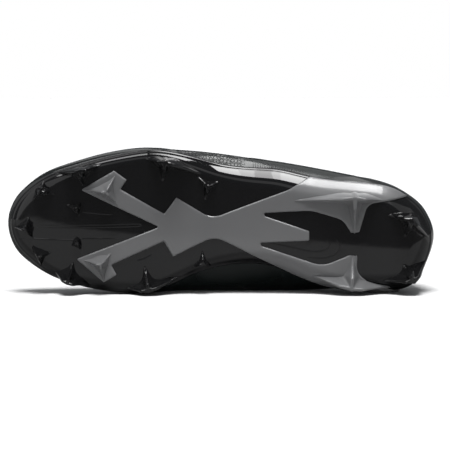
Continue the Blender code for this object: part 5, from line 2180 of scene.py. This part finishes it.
@dataclass
class Laces:
    """The lace, laid criss-cross through the eyelets."""

    width: float = SIZES.lace_width
    thickness: float = SIZES.lace_thickness
    squeeze: float = 0.55
    over_gap: float = 0.0006
    over_share: float = 0.55
    under_gap: float = 0.0008
    start_gap: float = 0.0005
    hole_lean: float = 0.0006
    samples: int = 420
    sides: int = 12
    side_round: float = 0.5
    face_round: float = 0.7
    path_rounds: int = 4
    turn_rounds: int = 6

    def stations(self, side: Side) -> list[tuple[float, float, float, float]]:
        """Listed way of one half.

        Args:
            side: The side of its first eyelet.

        Returns:
            Place along, distance across, height and share of the width at each station.
        """
        s = SIZES
        over = self.over_gap + s.lace_thickness * self.over_share
        under = -s.upper_wall - self.under_gap
        rows = list(reversed(s.eyelet_rows))
        sign = side.value
        gap = THROAT.half_gap(rows[0])
        way = [
            (rows[0], sign * self.start_gap, under + self.start_gap, 1.0),
            (rows[0], sign * gap * 0.6, under, 1.0),
            (rows[0], sign * (gap + s.eyelet_inset * 0.5), under, 0.9),
        ]
        for along, after in zip(rows, [*rows[1:], None]):
            gap = THROAT.half_gap(along)
            hole = sign * (gap + s.eyelet_inset)
            way.append((along, hole - sign * self.hole_lean, under, self.squeeze))
            way.append((along, hole, -s.upper_wall * 0.5, self.squeeze))
            way.append((along, hole - sign * self.hole_lean, over * 0.9, self.squeeze))
            if after is None:
                break
            next_gap = THROAT.half_gap(after)
            for mark in CROSSING:
                half = gap if mark.side > 0 else next_gap
                across = sign * mark.side * (half * mark.gap + s.eyelet_inset * mark.inset)
                level = over * mark.over + under * mark.under - mark.drop
                way.append((along + (after - along) * mark.step, across, level, mark.width))
            sign = -sign
        return way

    def half(self, side: Side) -> tuple[bpy.types.Object, float]:
        """Makes one half of the lace.

        Args:
            side: The side of its first eyelet.

        Returns:
            The finished piece and its length in metres.
        """
        stations = open_curve(self.stations(side), self.samples)
        places = [THROAT.at(along, across, level) for along, across, level, _ in stations]
        path, normals = (np.array(values) for values in zip(*places))
        soften(path, self.path_rounds)
        tangent = unit(np.gradient(path, axis=0))
        aside = unit(np.cross(tangent, normals))
        for _ in range(self.turn_rounds):
            aside[1:-1] = unit(aside[:-2] + aside[1:-1] + aside[2:])
        up = unit(np.cross(aside, tangent))
        share = stations[:, 3:4]
        rings = []
        for angle in full_turn(self.sides):
            cosine, sine = math.cos(angle), math.sin(angle)
            wide = math.copysign(abs(cosine) ** self.side_round, cosine) * self.width / 2 * share
            thick = math.copysign(abs(sine) ** self.face_round, sine) * self.thickness / 2 / share**0.5
            rings.append(path + wide * aside + thick * up)
        mould = Mould()
        mould.tube(np.stack(rings, 1))
        length = float(np.linalg.norm(np.diff(path, axis=0), axis=1).sum())
        return mould.finish(f"lace_{side.name.lower()}", sharp_deg=60.0), length


class Lamp(NamedTuple):
    """A soft rectangular light: its middle, what it faces, its sides and its power in watts."""

    name: str
    place: tuple[float, float, float]
    aim: tuple[float, float, float]
    size: tuple[float, float]
    power: float
    mirrored_only: bool = True


SHOE_MIDDLE = (0.0, 0.0, 0.05)
LAMPS = [
    Lamp("overhead_strip", (-0.42, -0.28, 0.86), (-0.42, -0.28, 0.0), (0.66, 0.16), 2.0),
    Lamp("front_fill", (0.0, -1.5, 1.15), SHOE_MIDDLE, (2.2, 0.7), 2.6, False),
    Lamp("toe_card", (-1.15, -0.75, 0.42), SHOE_MIDDLE, (1.6, 1.2), 4.2),
    Lamp("heel_card", (1.15, -0.65, 0.42), SHOE_MIDDLE, (1.4, 1.2), 2.5),
    Lamp("back_fill", (0.1, 1.1, 1.7), SHOE_MIDDLE, (2.4, 1.0), 6.5),
]


@dataclass
class Studio:
    """Camera, pale floor and soft lights.

    overhead_steps holds the middle, the width and the level of each strip of the light over
    the heel, which is brightest at the heel.
    """

    target: tuple[float, float, float] = (0.0024, -0.040, 0.0482)
    azimuth_deg: float = 0.0
    elevation_deg: float = 4.0
    distance: float = 1.8
    frame_width: float = 0.3056
    floor_reach: float = 6.0
    # Painted reflection: past this sloped edge the floor is dark to mirrored rays only, in place of dark
    # surroundings.
    mirror_dark_edge: float = -0.184
    mirror_dark_soft: float = 0.008
    mirror_dark_slope: float = 0.21
    far_paleness: float = 0.20
    # Painted shadow: within this distance of the shoe's line the painted glow is left out.
    shade_reach: float = 0.050
    shade_soft: float = 0.025
    overhead_y: float = -0.06
    overhead_height: float = 0.9
    overhead_depth: float = 0.52
    overhead_steps: tuple[tuple[float, float, float], ...] = (
        (0.290, 0.200, 14.0), (0.150, 0.080, 11.5), (0.080, 0.060, 8.0), (0.020, 0.060, 5.0),
        (-0.035, 0.050, 2.5),
    )
    paleness: float = 1.0
    # Painted reflection: the floor's paleness as mirrored rays see it, dimmer than to the camera.
    mirrored_paleness: float = 0.24
    # Painted glow: light that the floor gives off in reflections only, though it is no lamp.
    mirrored_glow: float = 0.22
    bounce_paleness: float = 0.55
    room_color: tuple[float, float, float, float] = (0.93, 0.96, 1.0, 1.0)
    room_level: float = 0.13
    floor_level: float = 3.7
    sun_deg: float = 26.0
    sun_lean_deg: float = 20.0

    def build(self) -> None:
        """Makes the whole studio."""
        self.camera()
        self.floor()
        self.surroundings()
        self.sun()
        for number, (middle, width, level) in enumerate(self.overhead_steps):
            place = (middle, self.overhead_y, self.overhead_height)
            power = level * math.pi * width * self.overhead_depth
            aim, size = (middle, self.overhead_y, 0.0), (width, self.overhead_depth)
            self.light(Lamp(f"overhead_{number}", place, aim, size, power))
        for lamp in LAMPS:
            self.light(lamp)
        bpy.context.scene.view_settings.view_transform = "Standard"

    def camera(self) -> None:
        """Camera at the photo's angle to the sole."""
        data = bpy.data.cameras.new("camera")
        data.sensor_width = 36.0
        data.lens = data.sensor_width * self.distance / self.frame_width
        data.clip_end = 50.0
        data.dof.use_dof = False
        azimuth, elevation = math.radians(self.azimuth_deg), math.radians(self.elevation_deg)
        level = math.cos(elevation)
        back = Vector((math.sin(azimuth) * level, -math.cos(azimuth) * level, math.sin(elevation)))
        camera = linked("camera", data)
        camera.location = Vector(self.target) + back * self.distance
        camera.rotation_euler = (-back).to_track_quat("-Z", "Y").to_euler()
        bpy.context.scene.camera = camera

    def floor(self) -> None:
        """Pale floor under the shoe."""
        mesh = bpy.data.meshes.new("floor")
        reach = self.floor_reach
        ring = [(-reach, -reach, 0), (reach, -reach, 0), (reach, reach, 0), (-reach, reach, 0)]
        mesh.from_pydata(ring, [], [(0, 1, 2, 3)])
        mesh.materials.append(self.floor_look())
        linked("floor", mesh)

    def floor_look(self) -> bpy.types.Material:
        """Material that is pale to the camera and mirrors darker beyond a sloped edge, as a painted
        reflection, with a painted glow and shadow.

        Returns:
            The material.
        """
        look = bpy.data.materials.new("pale_floor")
        look.use_nodes = True
        build = NodeBuilder(look.node_tree)
        place = build.node("ShaderNodeTexCoord").outputs["Object"]
        place = build.node("ShaderNodeSeparateXYZ", {0: place}).outputs
        ray = build.node("ShaderNodeLightPath").outputs
        # Painted reflection: to mirrored rays the floor is dimmer than to the camera, and dimmer still past a
        # sloped edge.
        depth = build.math("SUBTRACT", place["Y"], build.times(place["X"], self.mirror_dark_slope))
        past = build.remap(depth, self.mirror_dark_edge, self.mirror_dark_edge - self.mirror_dark_soft, 1.0, self.far_paleness)
        mirrored = build.times(ray["Is Glossy Ray"], past)
        # Painted shadow: the painted glow is left out near the shoe's line, where its shadow would fall.
        away = build.math("ABSOLUTE", place["Y"])
        glow_past_painted_shadow = build.remap(away, self.shade_reach, self.shade_reach + self.shade_soft, 0.0, 1.0)
        seen = build.times(ray["Is Camera Ray"], self.paleness)
        gloss = build.times(mirrored, self.mirrored_paleness)
        bounced = build.times(ray["Is Diffuse Ray"], self.bounce_paleness)
        build.fill(look.node_tree.nodes["Principled BSDF"], {
            "Base Color": build.math("ADD", build.math("ADD", seen, gloss), bounced),
            # Painted glow: the floor shines to mirrored rays, though it is no lamp.
            "Emission Color": build.times(build.times(mirrored, glow_past_painted_shadow), self.mirrored_glow),
            "Emission Strength": 1.0,
            "Roughness": 0.6,
            "Specular IOR Level": 0.2,
        })
        return look

    def light(self, lamp: Lamp) -> None:
        """Adds one soft rectangular light.

        Args:
            lamp: The light.
        """
        data = bpy.data.lights.new(lamp.name, "AREA")
        data.shape = "RECTANGLE"
        data.size, data.size_y = lamp.size
        data.energy = lamp.power
        made = linked(lamp.name, data)
        made.location = lamp.place
        made.rotation_euler = (Vector(lamp.aim) - Vector(lamp.place)).to_track_quat("-Z", "Y").to_euler()
        made.visible_diffuse = not lamp.mirrored_only

    def surroundings(self) -> None:
        """White backdrop with a dim room for the reflections."""
        world = bpy.data.worlds.new("studio")
        world.use_nodes = True
        build = NodeBuilder(world.node_tree)
        nodes = world.node_tree.nodes
        dim = nodes["Background"]
        build.fill(dim, {"Color": self.room_color, "Strength": self.room_level})
        bright = build.node("ShaderNodeBackground", {"Color": (1, 1, 1, 1), "Strength": 1.0})
        seen = build.node("ShaderNodeLightPath").outputs["Is Camera Ray"]
        mix = build.node("ShaderNodeMixShader", {"Fac": seen, 1: dim.outputs[0], 2: bright.outputs[0]})
        build.fill(nodes["World Output"], {"Surface": mix.outputs[0]})
        bpy.context.scene.world = world

    def sun(self) -> None:
        """Even soft light from above that keeps the floor pale to the horizon."""
        data = bpy.data.lights.new("sky_panel", "SUN")
        data.energy = self.floor_level
        data.angle = math.radians(self.sun_deg)
        lamp = linked("sky_panel", data)
        lamp.rotation_euler = (math.radians(self.sun_lean_deg), 0, 0)
        lamp.visible_glossy = False


def dress(piece: bpy.types.Object, finish: Finish, look: bpy.types.Material, *nodes: str) -> None:
    """Gives a piece its material and body, and hides the solids that it stands for.

    Args:
        piece: The piece.
        finish: Its finish; not used.
        look: The material built from that finish.
        nodes: Names of the solids.
    """
    piece.data.materials.clear()
    piece.data.materials.append(look)
    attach(piece, BODY)
    if nodes:
        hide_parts(*nodes)
    LOG.info("%s: %d faces", piece.name, len(piece.data.polygons))


def main() -> None:
    """Builds every piece in order and dresses it."""
    logging.basicConfig(level=logging.INFO)
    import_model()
    GROUPS.update(scuffs=scuff_group(), grain=grain_group(), weave=weave_group())
    finishes = (
        PLATE_FINISH, CHASSIS_FINISH, UPPER_FINISH, PANEL_FINISH, LINING_FINISH, KNIT_FINISH, LACE_FINISH,
        THREAD_FINISH,
    )
    looks = {finish.name: finish.build() for finish in finishes}

    def wear(piece: bpy.types.Object, finish: Finish, *nodes: str) -> None:
        """Dresses a piece in one of the finishes."""
        dress(piece, finish, looks[finish.name], *nodes)

    Studio().build()
    wear(SolePlate().build(), PLATE_FINISH, "sole_plate")
    wear(ChassisOverlay().build(), CHASSIS_FINISH, "chassis")
    wear(UpperShell().build(), UPPER_FINISH, "upper")
    trim = UpperTrim()
    wear(trim.heel_counter(), PANEL_FINISH)
    wear(trim.toe_film(), PANEL_FINISH)
    for piece in trim.eyestays():
        wear(piece, PANEL_FINISH)
    wear(trim.collar_binding(), KNIT_FINISH)
    wear(trim.collar_lining(), LINING_FINISH)
    wear(trim.raised_lines(), PANEL_FINISH)
    seams = Seams(RepeatTree("repeat_bars"))
    wear(seams.stitching(looks[THREAD_FINISH.name]), THREAD_FINISH)
    wear(seams.hatching(looks[PANEL_FINISH.name]), PANEL_FINISH)
    wear(Insole().build(), LINING_FINISH, "insole")
    tongue = Tongue().build()
    wear(tongue, KNIT_FINISH, "tongue")
    crossings = [f"lace_crossing_{k}" for k in range(1, len(SIZES.eyelet_rows))]
    covered = {Side.OUTER: ["lace_bar", *crossings], Side.INNER: []}
    for side in Side:
        piece, length = Laces().half(side)
        LOG.info("%s is %.3f m long", piece.name, length)
        wear(piece, LACE_FINISH, *covered[side])


if __name__ == "__main__":
    main()
